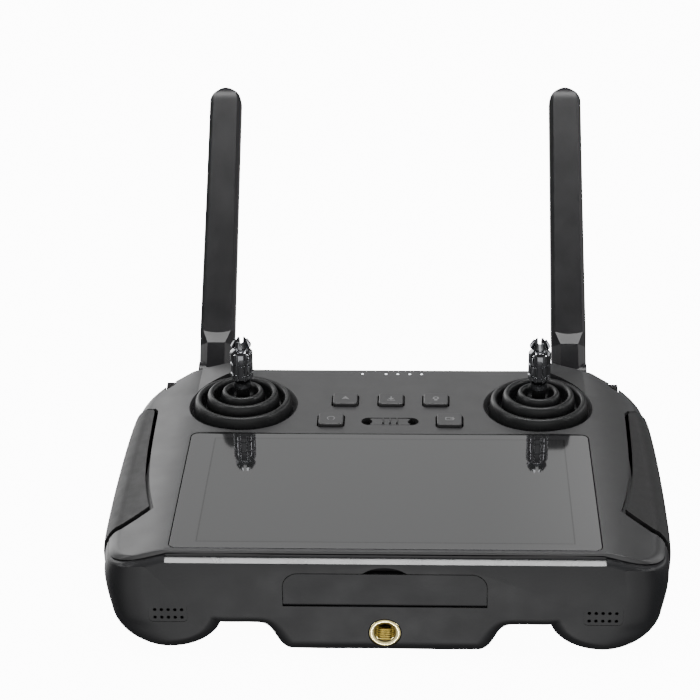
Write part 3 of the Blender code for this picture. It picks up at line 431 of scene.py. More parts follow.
# ---------------------------------------------------------------- the case's form
SIDE = ((-51.8, 93.0), (-40.0, 94.2), (-20.0, 94.8), (0.0, 95.0), (22.0, 94.8), (38.0, 94.2), (46.0, 93.2),
        (51.0, 91.6), (55.0, 89.2), (58.5, 86.0), (61.0, 82.4), (62.8, 79.6), (64.5, 77.4), (REAR, 76.4))
LOBE_DEPTH = ((FRONT, 1.0), (10.0, 1.0), (30.0, 0.9), (46.0, 0.7), (58.0, 0.5), (REAR, 0.42))
BELLY_DEPTH = ((FRONT, 1.0), (14.0, 1.0), (22.0, 0.82), (32.0, 0.3), (38.0, 0.0), (REAR, 0.0))
ROUND_TOP, ROUND_BOTTOM, ROUND_REAR = 2.45, 5.5, 0.9


def along(table, y):
    if y <= table[0][0]:
        return table[0][1]
    for (y0, v0), (y1, v1) in zip(table, table[1:]):
        if y <= y1:
            return v0 + (v1 - v0) * (y - y0) / (y1 - y0)
    return table[-1][1]


def eased(table, y):
    """Smooth reading of a table: a cubic between points, with the slopes of their neighbours."""
    if y <= table[0][0] or y >= table[-1][0]:
        return along(table, y)
    k = next(i for i in range(len(table) - 1) if y <= table[i + 1][0])

    def slope(i):
        if i <= 0 or i >= len(table) - 1:
            a, b = (0, 1) if i <= 0 else (len(table) - 2, len(table) - 1)
        else:
            a, b = i - 1, i + 1
        return (table[b][1] - table[a][1]) / (table[b][0] - table[a][0])

    (y0, v0), (y1, v1) = table[k], table[k + 1]
    h = y1 - y0
    t = (y - y0) / h
    return ((2 * t**3 - 3 * t**2 + 1) * v0 + (t**3 - 2 * t**2 + t) * h * slope(k)
            + (-2 * t**3 + 3 * t**2) * v1 + (t**3 - t**2) * h * slope(k + 1))


def half_width(y, inset, front):
    """Half width of the case, rounded towards its front corners."""
    centre = SIDE[0][0]
    if y < centre:
        reach = centre - front - inset
        share = max(0.0, 1 - ((centre - y) / reach) ** 2) if reach > 0 else 0.0
        return CORNER_X + (CORNER - inset) * math.sqrt(share)
    return along(SIDE, min(REAR, y + (0.75 * inset if y > 40 else 0.0))) - inset


def edge_inset(distance, radius):
    """How far a rounded edge falls away at a distance from it. The long top edge is nearly a flat bevel."""
    if distance >= radius:
        return 0.0
    curved = radius - math.sqrt(radius**2 - (radius - distance) ** 2)
    return curved if radius != ROUND_TOP else 0.3 * curved + 0.7 * (radius - distance) * 0.95


def deck_height(x):
    return DECK - max(0.0, abs(x) - FLAT_HALF) * DECK_FALL


def seam_height(x):
    return SEAM - max(0.0, abs(x) - (FLAT_HALF - 1)) * SEAM_FALL


def half_section(kind, wide, lobe, belly, room):
    """Right half of a cross-section, top middle to bottom middle: (x, z, front radius)."""
    squeeze = max(0.36, (wide - LOBE_X) / (HALF_WIDTH - LOBE_X))
    points = []
    shoulder = 6.5 * squeeze
    flat = min(FLAT_HALF, wide - shoulder - room - 0.8)
    if kind == "lower":
        edge = wide - 0.87 * squeeze
        points += [(0, SEAM, ROUND_TOP), (35, SEAM, ROUND_TOP), (flat - 1, SEAM, ROUND_TOP)]
        points += [(edge - 1.2, seam_height(edge - 1.2) - 0.1, ROUND_TOP)]
        points += [(edge - 0.2, seam_height(edge) - 0.8, 1.2)]
    elif kind == "open":
        points += [(0, 48, 0), (35, 48, 0), (wide, 48, 0)]
    else:
        start = wide - shoulder
        top = deck_height(start)
        points += [(0, DECK, 0.6), (35, DECK, 0.6), (flat, DECK, 0.6), (start, top, 0.6)]
        for turn in (18, 36, 54, 72):
            a = math.radians(turn)
            points.append((start + shoulder * math.sin(a), WIDEST + (top - WIDEST) * math.cos(a), 1.2))
    points.append((wide, WIDEST, 1.2))
    if kind == "upper":
        return points + [(wide, WIDEST - 4, 1.2), (0, WIDEST - 4, 0.6)]
    points += [(wide - 0.3 * squeeze, 20.0, 1.5)]
    lobe_x = min(LOBE_X, wide - 11.0)
    outer = wide - 1.6 * squeeze - lobe_x
    inner = lobe_x - 53.4
    under = []
    for turn in (0, 18, 36, 54, 72, 90, 110, 130, 150, 166):
        a = math.radians(turn)
        reach = outer if turn <= 90 else inner
        front_radius = ROUND_BOTTOM if turn > 10 else 2.5
        under.append((lobe_x + reach * math.cos(a), 13.4 - 13.1 * math.sin(a), front_radius))
    under.append((52.4, CHANNEL, 4.0))
    middle = [(41.6, CHANNEL, 4.0), (39.4, 9.7, 4.6), (37.6, 7.6, 5.0), (35.8, 4.0, ROUND_BOTTOM),
              (34.0, 1.5, ROUND_BOTTOM), (31.2, 0.0, ROUND_BOTTOM), (0, 0.0, ROUND_BOTTOM)]
    points += [(x, CHANNEL - lobe * (CHANNEL - z) if z < CHANNEL else z, r) for x, z, r in under]
    return points + [(x, CHANNEL - belly * (CHANNEL - z), r) for x, z, r in middle]


def offset_half(points, inset):
    drawn = []
    for i, (x, z, r) in enumerate(points):
        before = points[i - 1] if i else (-points[1][0], points[1][1])
        after = points[i + 1] if i + 1 < len(points) else (-points[-2][0], points[-2][1])
        a = Vector((x - before[0], z - before[1])).normalized()
        b = Vector((after[0] - x, after[1] - z)).normalized()
        normals = [Vector((-d.y, d.x)) for d in (a, b)]
        out = (normals[0] + normals[1]).normalized()
        amount = inset if not callable(inset) else inset(r)
        stretch = min(1.6, 1 / max(0.3, out.dot(normals[0])))
        drawn.append((x - out.x * amount * stretch, z - out.y * amount * stretch))
    return drawn


def stations_for(front):
    """Places along Y of the skin's cross-sections, close together where it curves."""
    steps = (0.0, 0.06, 0.2, 0.45, 0.8, 1.25, 1.8, 2.4, 3.1, 4.0, 4.8, 5.5, 7.0, 8.8, 10.8, 12.6)
    near = [front + d for d in steps]
    middle = [-50.0 + 4.0 * i for i in range(24)]
    bend = [45.0 + 1.5 * i for i in range(13)]
    return near + middle + bend + [REAR - d for d in (0.9, 0.62, 0.35, 0.1, 0.0)]


def close_loft(bm, rings):
    """Joins neighbouring rings of corners by faces and closes both ends."""
    for a, b in zip(rings, rings[1:]):
        for i in range(len(a)):
            j = (i + 1) % len(a)
            bm.faces.new((a[i], a[j], b[j], b[i]))
    bm.faces.new(rings[0][::-1])
    bm.faces.new(rings[-1])


def case_form(kind, inset=0.0, fine=True, span=None):
    """A closed loft of cross-sections from front to rear, inset under the skin.

    span limits it along Y and leaves its ends square. A loft that isn't fine is for a hidden inside.
    """
    front = LID_FRONT if kind == "upper" else FRONT
    if span:
        stations = [span[0]] + [y for y in stations_for(front) if span[0] + 1 < y < span[1] - 1] + [span[1]]
    elif fine:
        stations = stations_for(front)
    else:
        stations = [front + inset + d for d in (0.0, 1.2, 4.0)]
        stations += [y for y, _ in SIDE[::2] if -55 < y < REAR - inset - 4]
        stations = sorted(set(stations + [14.0, 32.0, REAR - inset - 3.5, REAR - inset]))
    bm = bmesh.new()
    rings = []
    for y in stations:
        if fine:
            wide = half_width(y, 0.0, front) if y < SIDE[0][0] else eased(SIDE, y)
        else:
            wide = half_width(y, inset, front) + inset
        half = half_section(kind, wide, eased(LOBE_DEPTH, y), min(1.0, max(0.0, eased(BELLY_DEPTH, y))),
                            max(0.0, inset))
        if fine and not span:
            ahead, behind = y - front, REAR - y
            half = offset_half(half, lambda r: edge_inset(ahead, r) + edge_inset(behind, ROUND_REAR))
        else:
            half = offset_half(half, inset)
        if fine:
            half = smooth_line(half, 3)
        loop = half + [(-x, z) for x, z in reversed(half[1:-1])]
        rings.append([bm.verts.new(mm(x, y, z)) for x, z in loop])
    close_loft(bm, rings)
    return from_bm(bm, "form")


PAD_OUTLINE = ((78.2, -34.5), (79.6, -28.0), (81.3, -19.0), (82.8, -8.0), (84.0, 8.0), (84.6, 24.0),
               (85.0, 38.0), (86.2, 40.6), (89.0, 41.8), (104.0, 43.0), (104.0, -47.5), (92.0, -45.6),
               (88.5, -43.6), (83.5, -39.4))
PAD_FRONT_Y, PAD_FRONT_GAP = -34, 0.7


def pad_outline(side, amount):
    """The grip's outline in plan, its inner edge drawn as a smooth curve, moved in by amount.

    An outline that is moved in also leaves a wider gap along its front edge.
    """
    inner = smooth_line([Vector(p).to_3d() for p in PAD_OUTLINE[:7]], 4)
    points = [(p[0], p[1]) for p in inner] + list(PAD_OUTLINE[7:])
    area = sum(a[0] * b[1] - b[0] * a[1] for a, b in zip(points, points[1:] + points[:1]))
    sign = 1 if area > 0 else -1
    out = []
    for i, p in enumerate(points):
        a = (Vector(p) - Vector(points[i - 1])).normalized()
        b = (Vector(points[(i + 1) % len(points)]) - Vector(p)).normalized()
        normal = (Vector((-a.y, a.x)) + Vector((-b.y, b.x))).normalized() * sign
        stretch = 1 / max(0.5, abs(normal.dot(Vector((-a.y, a.x)))))
        back = PAD_FRONT_GAP if amount and p[1] < PAD_FRONT_Y else 0.0
        out.append((side * (p[0] + normal.x * amount * stretch), p[1] + back + normal.y * amount * stretch))
    return out


def pad_layer(side, outer_inset, inner_inset, shrink_by, low):
    """A grip's shape between two insets of the case's form, or its recess where there is no outer one."""
    layer = prism(pad_outline(side, shrink_by), low, 44.0)
    if outer_inset is not None:
        boolean(layer, case_form("full", outer_inset, span=(-56.0, 48.0)), "INTERSECT")
    cut(layer, case_form("full", inner_inset, span=(-58.0, 50.0)))
    return layer


def cover_outline(grow=0.0):
    half, bottom, top = COVER[0] / 2 + grow, COVER_BOTTOM - grow, COVER_BOTTOM + COVER[1] + grow
    r = COVER_R + grow
    points = [(-half, bottom), (half, bottom)]
    points += arc(half - r, top - r, r, 0, 90, 10)
    return points + arc(-half + r, top - r, r, 90, 180, 10)


def dial_room(side):
    """The space around a dial's wheel."""
    x, y, z = DIAL
    return cylinder((side * x, y, z), DIAL_R + 0.4, DIAL_WIDTH + 0.8, axis="X", sides=48)


def deck_rise(x):
    """The deck's outer slope, carried on inwards over the flat."""
    return DECK + (FLAT_HALF - abs(x)) * DECK_FALL + 0.01


# ---------------------------------------------------------------- case
def make_lid():
    lid = case_form("upper")
    lid.name = "lid_skin"
    below = [(-120, seam_height(120) + 0.5), (-FLAT_HALF + 1, SEAM + 0.5), (FLAT_HALF - 1, SEAM + 0.5),
             (120, seam_height(120) + 0.5), (120, -20), (-120, -20)]
    cut(lid, prism(below, -80, 80, axis="Y"))
    for side in (-1, 1):
        inner, outer = 56.5, FLAT_HALF - 0.3
        rise = [(side * x, z) for x, z in ((inner - 1.2, SEAM + 0.8), (inner, deck_rise(inner) - 0.3),
                                            (inner + 0.6, deck_rise(inner + 0.6)), (outer, deck_rise(outer)),
                                            (outer, SEAM + 0.8))]
        join(lid, prism(rise, GIMBAL[1], REAR - 0.35, axis="Y"))
    join(lid, prism(rounded_rect(2 * 73.0, 122.6, 3.0, cy=0.1, steps=3), 36.0, SEAM + 0.9))
    for side in (-1, 1):
        gx, gy = side * GIMBAL[0], GIMBAL[1]
        join(lid, cylinder((gx, gy, 35.0), DISH_R + 1.8, 3.2, sides=96))
        dish = [(0, DISH_FLOOR + 0.4), (17.6, DISH_FLOOR + 0.4), (18.5, DISH_FLOOR + 1.0),
                (DISH_R, DISH_FLOOR + 3.4), (DISH_R + 0.6, DISH_FLOOR + 4.1), (DISH_R + 0.9, 46), (0, 46)]
        cut(lid, turned(dish, centre=(gx, gy, 0), sides=96, close=False))
        cut(lid, cylinder((gx, gy, 35.0), SOCKET_R, 8.0, sides=64))
        cut(lid, dial_room(side))
        cut(lid, pad_layer(side, None, 1.5, 0.0, 6.0))
    w, d, t = GLASS
    gy = GLASS_FRONT + d / 2
    cut(lid, prism(rounded_rect(w + 0.7, d + 0.7, 2.6, cy=gy), DECK - t - 0.3, DECK + 3))
    cut(lid, prism(rounded_rect(127.0, 72.0, 1.5, cy=gy - 0.5, steps=2), 30, DECK))
    apron = [(GLASS_FRONT - 0.2, DECK + 0.05), (LID_FRONT - 1, DECK - APRON_FALL), (LID_FRONT - 1, DECK + 3),
             (GLASS_FRONT - 0.2, DECK + 3)]
    cut(lid, prism(apron, -APRON_HALF, APRON_HALF, axis="X"))
    for kx, ky in KEYS.values():
        cut(lid, prism(rounded_rect(KEY[0] + 0.9, KEY[1] + 0.9, 1.6, kx, ky, 5), 30, DECK + 3))
    cut(lid, prism(rounded_rect(SLOT[0], SLOT[1], SLOT[1] / 2 - 0.01, 0.1, SLIDER_Y, 10), 30, DECK + 3))
    for x in LED_X:
        cut(lid, cylinder((x, LED_Y, 37), 0.8, 8, sides=16))
    finish(lid, "deck", "housing", ["top_shell"], edge=0.28)


def make_tub():
    tub = case_form("lower")
    tub.name = "tub_skin"
    cut(tub, case_form("open", WALL, fine=False))
    half, bottom, height, depth = COVER[0] / 2, COVER_BOTTOM, COVER[1], COVER[2]
    join(tub, box((-half - 2.2, FRONT + WALL - 0.6, bottom - 2.4), (half + 2.2, -49.6, 33.05)))
    join(tub, cylinder((0, -58.2, INSERT_Z), 7.2, 8.4, axis="Y"))
    for side in (-1, 1):
        for sx, sy, seat in SCREWS:
            cut(tub, cylinder((side * sx, sy, seat - 10 + 2.3), 2.9, 20.0, sides=32))
        cut(tub, dial_room(side))
        cut(tub, pad_layer(side, None, 1.5, 0.0, 4.5))
        for row in SPEAKER_ROWS:
            for i in range(5):
                x = side * SPEAKER_X + (i - 2) * SPEAKER_PITCH
                cut(tub, cylinder((x, FRONT, row), 0.6, 9.0, axis="Y", sides=16))
        outline = rounded_rect(12.9, 9.4, 1.6, side * 71.05, 17.1, 5)
        rim = prism(outline, FRONT - 1, FRONT + 0.14, axis="Y")
        cut(rim, prism(rounded_rect(12.5, 9.0, 1.4, side * 71.05, 17.1, 5), FRONT - 2, FRONT + 1, axis="Y"))
        cut(rim, box((side * 71.05 - 9, FRONT - 2, 18.4), (side * 71.05 + 9, FRONT + 2, 24)))
        cut(tub, rim)
    cut(tub, prism(cover_outline(0.26), FRONT - 2, FRONT + depth + 0.4, axis="Y"))
    notch = cylinder((0, FRONT, bottom + height - 9.8), 12.4, 2 * (depth + 0.4), axis="Y", sides=96)
    cut(notch, box((-20, FRONT - 5, 0), (20, FRONT + 5, bottom + height - 1.0)))
    cut(tub, notch)
    cut(tub, box((-half + 2.4, FRONT, bottom + 1.6), (half - 2.4, -52.0, bottom + height - 1.4)))
    chamfer = [(FRONT - CUT_LEAD, CHAMFER_LOW), (FRONT + CHAMFER_DEPTH, CHAMFER_TOP),
               (FRONT + CHAMFER_DEPTH, 40.0), (FRONT - CUT_LEAD, 40.0)]
    cut(tub, prism(chamfer, -CHAMFER_HALF, CHAMFER_HALF, axis="X"))
    for x, z, w, h in PORTS:
        cut(tub, box((x - w / 2 - 0.3, -56, z - h / 2 - 0.3), (x + w / 2 + 0.3, -46, z + h / 2 + 0.3)))
    cut(tub, cylinder((0, -60.0, INSERT_Z), INSERT_R + 0.25, 10.6, axis="Y", sides=64))
    finish(tub, "case", "housing", ["bottom_shell"], edge=0.22)
    paint_chamfer_highlight(tub)


def paint_chamfer_highlight(tub):
    """Gives the faces of the front chamfer, which look forward and up, a lighter and glossier copy of the
    case plastic: its gloss is a finish, its lighter tone a painted highlight of the overhead light.
    """
    tub.data.materials.append(MATERIALS["chamfer"])
    for face in tub.data.polygons:
        x, y, z = face.center
        at_edge = y < mm(FRONT + CHAMFER_DEPTH + 0.1) and z > mm(34) and abs(x) < mm(CHAMFER_HALF + 0.1)
        if at_edge and face.normal.y < -0.45 and 0.7 < face.normal.z < 0.92:
            face.material_index = 1


def make_front_pieces():
    w, h, t = COVER
    axis_y, axis_z = FRONT + 0.9, COVER_BOTTOM + 0.9
    cover = prism(cover_outline(), FRONT, FRONT + t, axis="Y", name="port_flap")
    cut(cover, box((-w, FRONT - 1, COVER_BOTTOM - 1), (w, FRONT + t + 1, axis_z)))
    join(cover, cylinder((0, axis_y, axis_z), t / 2 - 0.01, w, axis="X", sides=40))
    join(cover, cylinder((0, axis_y, axis_z), 0.45, w + 2.0, axis="X", sides=16))
    catch_low, catch_high = COVER_BOTTOM + h - 4.0, COVER_BOTTOM + h - 2.6
    join(cover, box((-10, FRONT + t - 0.2, catch_low), (10, FRONT + t + 1.0, catch_high)))
    finish(cover, "cover", "cover", ["port_cover"], edge=0.15)

    bore, pitch = 3.18, 1.27
    profile = [(INSERT_R, 0.0), (INSERT_R, 8.8), (INSERT_R - 0.2, 9.0), (bore + 0.75, 9.0), (bore + 0.1, 8.4)]
    z = 8.2
    while z > 0.8:
        profile += [(bore, z), (bore + 0.42, z - pitch / 2)]
        z -= pitch
    profile += [(bore, 0.4), (bore, 0.0)]
    insert = turned(profile, "thread_bush", sides=72)
    turn = Matrix.Translation(mm(0, -55.9, INSERT_Z)) @ Matrix.Rotation(math.radians(90), 4, "X")
    insert.data.transform(turn)
    finish(insert, "brass", "housing", ["thread_insert"], edge=0.06, angle=50)


def make_grips():
    for word, side in SIDES.items():
        pad = pad_layer(side, -0.5, 1.2, 1.35, 5.9)
        pad.name = f"{word}_grip_pad"
        finish(pad, "grip", "housing", [f"{word}_grip"], edge=0.7, segments=3, angle=40)


def make_glass():
    w, d, t = GLASS
    outline = rounded_rect(w, d, 2.3, cy=GLASS_FRONT + d / 2, steps=12)
    glass = prism(outline, DECK - t, DECK, name="front_glass")
    finish(glass, "glass", "housing", ["screen_glass"], edge=0.12)


# ---------------------------------------------------------------- keys
def ring_mark(cx, cy, outer, inner, low, high):
    ring = cylinder((cx, cy, (low + high) / 2), outer, high - low, sides=32)
    cut(ring, cylinder((cx, cy, (low + high) / 2), inner, 2 * (high - low), sides=32))
    return ring


def key_mark(name, cx, cy):
    """A generic raised sign on a key: arrow head, download arrow, lamp, ring and brackets."""
    low, high = KEY_TOP - 0.1, KEY_TOP + 0.05
    if name == "key_left":
        points = [(cx - 1.5, cy - 1.1), (cx, cy - 0.35), (cx + 1.5, cy - 1.1), (cx, cy + 1.5)]
        return prism(points, low, high)
    if name == "key_middle":
        mark = prism([(cx - 1.2, cy + 0.1), (cx, cy - 1.2), (cx + 1.2, cy + 0.1)], low, high)
        join(mark, box((cx - 0.25, cy - 0.2, low), (cx + 0.25, cy + 1.4, high)))
        join(mark, box((cx - 1.5, cy - 1.75, low + 0.01), (cx + 1.5, cy - 1.3, high - 0.01)))
        return mark
    if name == "key_right":
        mark = ring_mark(cx, cy + 0.3, 1.15, 0.6, low, high)
        join(mark, box((cx - 0.55, cy - 1.6, low + 0.01), (cx + 0.55, cy - 0.7, high - 0.01)))
        return mark
    if name == "key_lower_left":
        mark = ring_mark(cx, cy, 1.45, 1.05, low, high)
        cut(mark, box((cx - 0.7, cy - 3, low - 1), (cx + 0.7, cy - 0.6, high + 1)))
        return mark
    mark = prism(rounded_rect(3.0, 2.2, 0.4, cx, cy, 3), low, high)
    cut(mark, prism(rounded_rect(2.3, 1.5, 0.2, cx, cy, 3), low - 1, high + 1))
    join(mark, box((cx + 0.3, cy - 0.2, low + 0.01), (cx + 1.9, cy + 0.2, high - 0.01)))
    return mark


def make_keys():
    w, d, h = KEY
    for name, (x, y) in KEYS.items():
        cap = prism(rounded_rect(w - 0.15, d - 0.15, 1.25, x, y, 6), KEY_TOP - h, KEY_TOP, name=name + "_cap")
        finish(cap, "key", KEY_BODY[name], [name], edge=0.42, segments=3)
        mark = key_mark(name, x, y)
        mark.name = name + "_sign"
        finish(mark, "mark", KEY_BODY[name])
    knob = prism(rounded_rect(15.0, 4.7, 1.3, 0.1, SLIDER_Y, 5), 36.4, 38.9, name="slider_knob")
    for side in (-1, 1):
        cut(knob, cylinder((0.1 + side * 8.55, SLIDER_Y, 38), 2.2, 8, sides=40))
    for i in (-1, 0, 1):
        x = 0.1 + i * 2.5
        join(knob, prism([(x - 0.42, 38.6), (x + 0.42, 38.6), (x + 0.18, 39.6), (x - 0.18, 39.6)],
                         SLIDER_Y - 1.7, SLIDER_Y + 1.7, axis="Y"))
    join(knob, box((-1.4, SLIDER_Y - 1.0, 32.4), (1.6, SLIDER_Y + 1.0, 37.0)))
    finish(knob, "key", "slider", ["mode_slider"], edge=0.15)


# ---------------------------------------------------------------- sticks
BOOT_FOLDS = {
    "outer": ((19.0, 35.6), (18.5, 35.9), (17.95, 36.4), (17.7, 38.0), (17.5, 40.0), (17.25, 41.3),
              (16.8, 42.0), (16.1, 42.25), (15.4, 42.0), (15.0, 41.2), (14.9, 40.0), (14.7, 38.2),
              (14.2, 37.2), (13.0, 36.8), (11.0, 36.6), (9.0, 36.6)),
    "middle": ((13.3, 33.8), (13.25, 37.0), (13.1, 40.5), (12.8, 43.2), (12.3, 44.2), (11.6, 44.5),
               (10.9, 44.2), (10.5, 43.4), (10.35, 41.5), (10.1, 39.4), (9.6, 38.4), (8.6, 37.8),
               (7.0, 37.6), (5.0, 37.6)),
    "cup": ((8.3, 35.8), (8.25, 38.0), (8.0, 41.5), (7.6, 44.0), (7.15, 44.9), (6.5, 45.2), (5.85, 44.9),
            (5.5, 44.2), (5.35, 43.0), (5.0, 41.6), (4.2, 40.8), (2.8, 40.5), (1.2, 40.4), (0.0, 40.4)),
}


def make_boots():
    """Rubber bellows: three turned folds about each stick's centre."""
    for word, side in SIDES.items():
        cx, cy = side * GIMBAL[0], GIMBAL[1]
        for tag, line in BOOT_FOLDS.items():
            profile = [(max(0.0, p[0]), p[1]) for p in smooth_line([Vector((*p, 0)) for p in line], 3, 80)]
            fold = turned(profile, f"{word}_boot_{tag}", (cx, cy, 0), sides=96, close=False)
            skin = fold.modifiers.new("thick", "SOLIDIFY")
            skin.thickness, skin.offset = mm(0.45), -1.0
            fold.data = evaluated(fold)
            fold.modifiers.clear()
            finish(fold, "boot", angle=70)
            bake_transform(fold)
            if tag == "outer":
                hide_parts(f"{word}_boot")


def make_stick_ends():
    """Turned metal tip: flutes down the barrel, two grooves, a waist and a crown of eight pointed teeth."""
    for word, side in SIDES.items():
        cx, cy = side * GIMBAL[0], GIMBAL[1]
        r = 4.05
        groove = r - 0.5
        profile = [(0, 62.7), (1.5, 62.95), (2.1, STICK_TOP), (2.6, STICK_TOP), (3.72, 63.5), (3.7, 63.15),
                   (2.45, 62.05), (2.6, 61.9), (3.0, 61.7), (r - 0.12, 60.75), (r, 60.5), (r, 57.05),
                   (groove, 56.85), (groove, 56.45), (r, 56.25), (r, 52.95), (groove, 52.75), (groove, 52.35),
                   (r, 52.15), (r, 50.8), (3.6, 50.0), (3.05, 48.8), (3.0, 46.6), (2.6, 46.4), (1.8, 46.4),
                   (1.8, 52.6), (0, 52.6)]
        tip = turned(profile, f"{word}_stick_tip", (cx, cy, 0), sides=96)
        spin = Matrix.Translation(mm(cx, cy, 0))
        for i in range(8):
            flute = cylinder((r + 0.5, 0, 55.8), 0.85, 12.6, sides=16)
            flute.data.transform(spin @ Matrix.Rotation(math.radians(22.5 + 45 * i), 4, "Z"))
            cut(tip, flute)
        for i in range(4):
            notch = [(-0.5, 62.61), (0.5, 62.61), (0.75, STICK_TOP + 1.5), (-0.75, STICK_TOP + 1.5)]
            saw = prism(notch, -9, 9, axis="X")
            saw.data.transform(spin @ Matrix.Rotation(math.radians(45 * i + 0.7), 4, "Z"))
            cut(tip, saw)
        finish(tip, "polished", f"{word}_stick", [f"{word}_stick_end"], edge=0.07, angle=28)


# ---------------------------------------------------------------- antennas and dials
def make_antennas():
    """A flat paddle with a thinned, rounded tip. The block at its foot straddles the case's tongue."""
    # distance along, half width, upper face, lower face, flat half width, how far the middle of the ring lags
    stations = (
        (0.0, 6.4, 4.2, -4.2, 3.6, 0.0), (2.5, 6.5, 4.7, -4.3, 3.35, 0.0), (4.5, 6.5, 4.9, -4.3, 3.3, 0.0),
        (10.9, 6.5, 4.9, -4.3, 3.3, 0.0), (16.0, 6.6, 3.7, -4.3, 5.2, 0.8), (16.8, 6.6, 3.7, -4.3, 5.2, 0.0),
        (30.0, 6.5, 3.7, -4.3, 5.1, 0.0), (70.0, 6.3, 3.6, -4.2, 4.9, 0.0), (111.2, 6.2, 3.5, -4.1, 4.7, 0.0))
    for word, side in SIDES.items():
        bm = bmesh.new()
        rings = []
        for y, half, up, down, flat, lag in stations:
            shoulder = up - 1.1 if flat > 4 else 0.9
            section = [(half, 0.6), (half - 0.1, shoulder)]
            section += [(flat * k / 4, up + 0.12 * (1 - (k / 4) ** 2)) for k in range(4, -5, -1)]
            section += [(-half + 0.1, shoulder), (-half, 0.6), (-half, down + 1.6), (-half + 1.6, down),
                        (half - 1.6, down), (half, down + 1.6)]
            rings.append([])
            for x, z in section:
                back = lag * (1 - (x / flat) ** 2) if abs(x) < flat and z > 0 else 0
                rings[-1].append(bm.verts.new(mm(x, y - back, z)))
        tip_y, reach = stations[-1][0], stations[-1][1]
        for turn in (*range(6, 85, 6), 88):
            a = math.radians(turn)
            thin = 1 - 0.35 * math.sin(a) ** 3
            ring_y = tip_y + reach * math.sin(a)
            rings.append([bm.verts.new(mm(x * math.cos(a), ring_y, z * thin)) for x, z in section])
        close_loft(bm, rings)
        paddle = from_bm(bm, f"{word}_antenna_paddle")
        outline = [(0, -6.45), (4.45, -6.45), (4.6, -6.3), (4.6, 6.3), (4.45, 6.45), (0, 6.45)]
        knuckle = turned(outline, "knuckle")
        knuckle.data.transform(Matrix.Rotation(math.radians(90), 4, "Y"))
        join(paddle, knuckle)
        cut(paddle, cylinder((0, 0, 0), 4.5, 6.7, axis="X", sides=64), box((-3.35, -7, -7), (3.35, 0.3, 4.7)))
        cut(paddle, box((-3.35, -1, -7), (3.35, 4.48, 0.0)), cylinder((0, 0, 0), 1.5, 30, axis="X", sides=32))
        place = Matrix.Translation(mm(side * ANTENNA_X, *HINGE))
        paddle.data.transform(place @ Matrix.Rotation(math.radians(ANTENNA_TILT), 4, "X"))
        finish(paddle, "antenna", f"{word}_mast", [f"{word}_antenna"], edge=0.12, segments=2,
               angle=10)


def make_dials():
    x, y, z = DIAL
    for word, side in SIDES.items():
        teeth = 40
        outline = []
        for i in range(teeth):
            for shift, radius in ((-0.3, DIAL_R), (0.0, DIAL_R), (0.2, DIAL_R - 0.45), (0.5, DIAL_R - 0.45)):
                a = 2 * math.pi * (i + shift) / teeth
                outline.append((y + radius * math.cos(a), z + radius * math.sin(a)))
        low, high = side * x - DIAL_WIDTH / 2, side * x + DIAL_WIDTH / 2
        wheel = prism(outline, low, high, axis="X", name=f"{word}_wheel_rim")
        cut(wheel, cylinder((side * x, y, z), 1.5, 20, axis="X", sides=32))
        finish(wheel, "neck", f"{word}_wheel", [f"{word}_dial"], edge=0.12)


# ---------------------------------------------------------------- finishes of the CAD nodes that stay
KEPT = {
    "steel": ("usb_port", "video_port", "radio_shield", "mode_switch", "left_pitch_spring",
              "right_pitch_spring", "left_antenna_pin", "right_antenna_pin", "left_dial_shaft",
              "right_dial_shaft", "left_dial_encoder", "right_dial_encoder", "front_left_screw",
              "front_right_screw", "rear_left_screw", "rear_right_screw"),
    "dark_metal": ("display_module", "left_gimbal_ring", "right_gimbal_ring"),
    "rubber": ("left_speaker", "right_speaker", "left_antenna_lead", "right_antenna_lead", "key_mat"),
    "board": ("main_board", "radio_board", "left_tilt_sensor", "right_tilt_sensor"),
    "neck": ("left_gimbal_frame", "right_gimbal_frame", "left_stick_shaft", "right_stick_shaft"),
    "antenna": ("left_antenna_bracket", "right_antenna_bracket"),
    "light": ("light_guide",),
    "cell": ("battery_pack",),
}


def dress_cad_nodes():
    """Gives the CAD nodes that no piece replaces their material."""
    for finish_name, names in KEPT.items():
        for name in names:
            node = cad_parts[name]
            node.data.materials.clear()
            node.data.materials.append(MATERIALS[finish_name])
    for word in SIDES:
        for name in (f"{word}_antenna_bracket", f"{word}_stick_shaft"):
            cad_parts[name].data.shade_smooth()
            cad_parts[name].data.set_sharp_from_angle(angle=math.radians(35))


# ---------------------------------------------------------------- stage, light and camera
def stage_material(name, tone, glow):
    made, _, shader = new_material(name)
    shader.inputs["Base Color"].default_value = (*tone, 1)
    shader.inputs["Roughness"].default_value = 0.9
    shader.inputs["Specular IOR Level"].default_value = 0.0
    shader.inputs["Emission Color"].default_value = (1, 1, 1, 1)
    shader.inputs["Emission Strength"].default_value = glow
    return made


def make_stage():
    bm = bmesh.new()
    bmesh.ops.create_grid(bm, x_segments=1, y_segments=1, size=7.0)
    floor = from_bm(bm, "floor")
    floor.data.materials.append(stage_material("pale_floor", (0.5, 0.5, 0.5), 12.0))
    floor.location.z = -0.0002
    bm = bmesh.new()
    bmesh.ops.create_uvsphere(bm, u_segments=48, v_segments=24, radius=6.5)
    backdrop = from_bm(bm, "backdrop")
    backdrop.data.shade_smooth()
    backdrop.data.materials.append(stage_material("pale_backdrop", (0.0, 0.0, 0.0), 12.0))
    for thing in (floor, backdrop):
        thing.visible_diffuse = False
        thing.visible_glossy = False
        thing.visible_transmission = False
        thing.visible_shadow = False


AMBIENT = 0.06
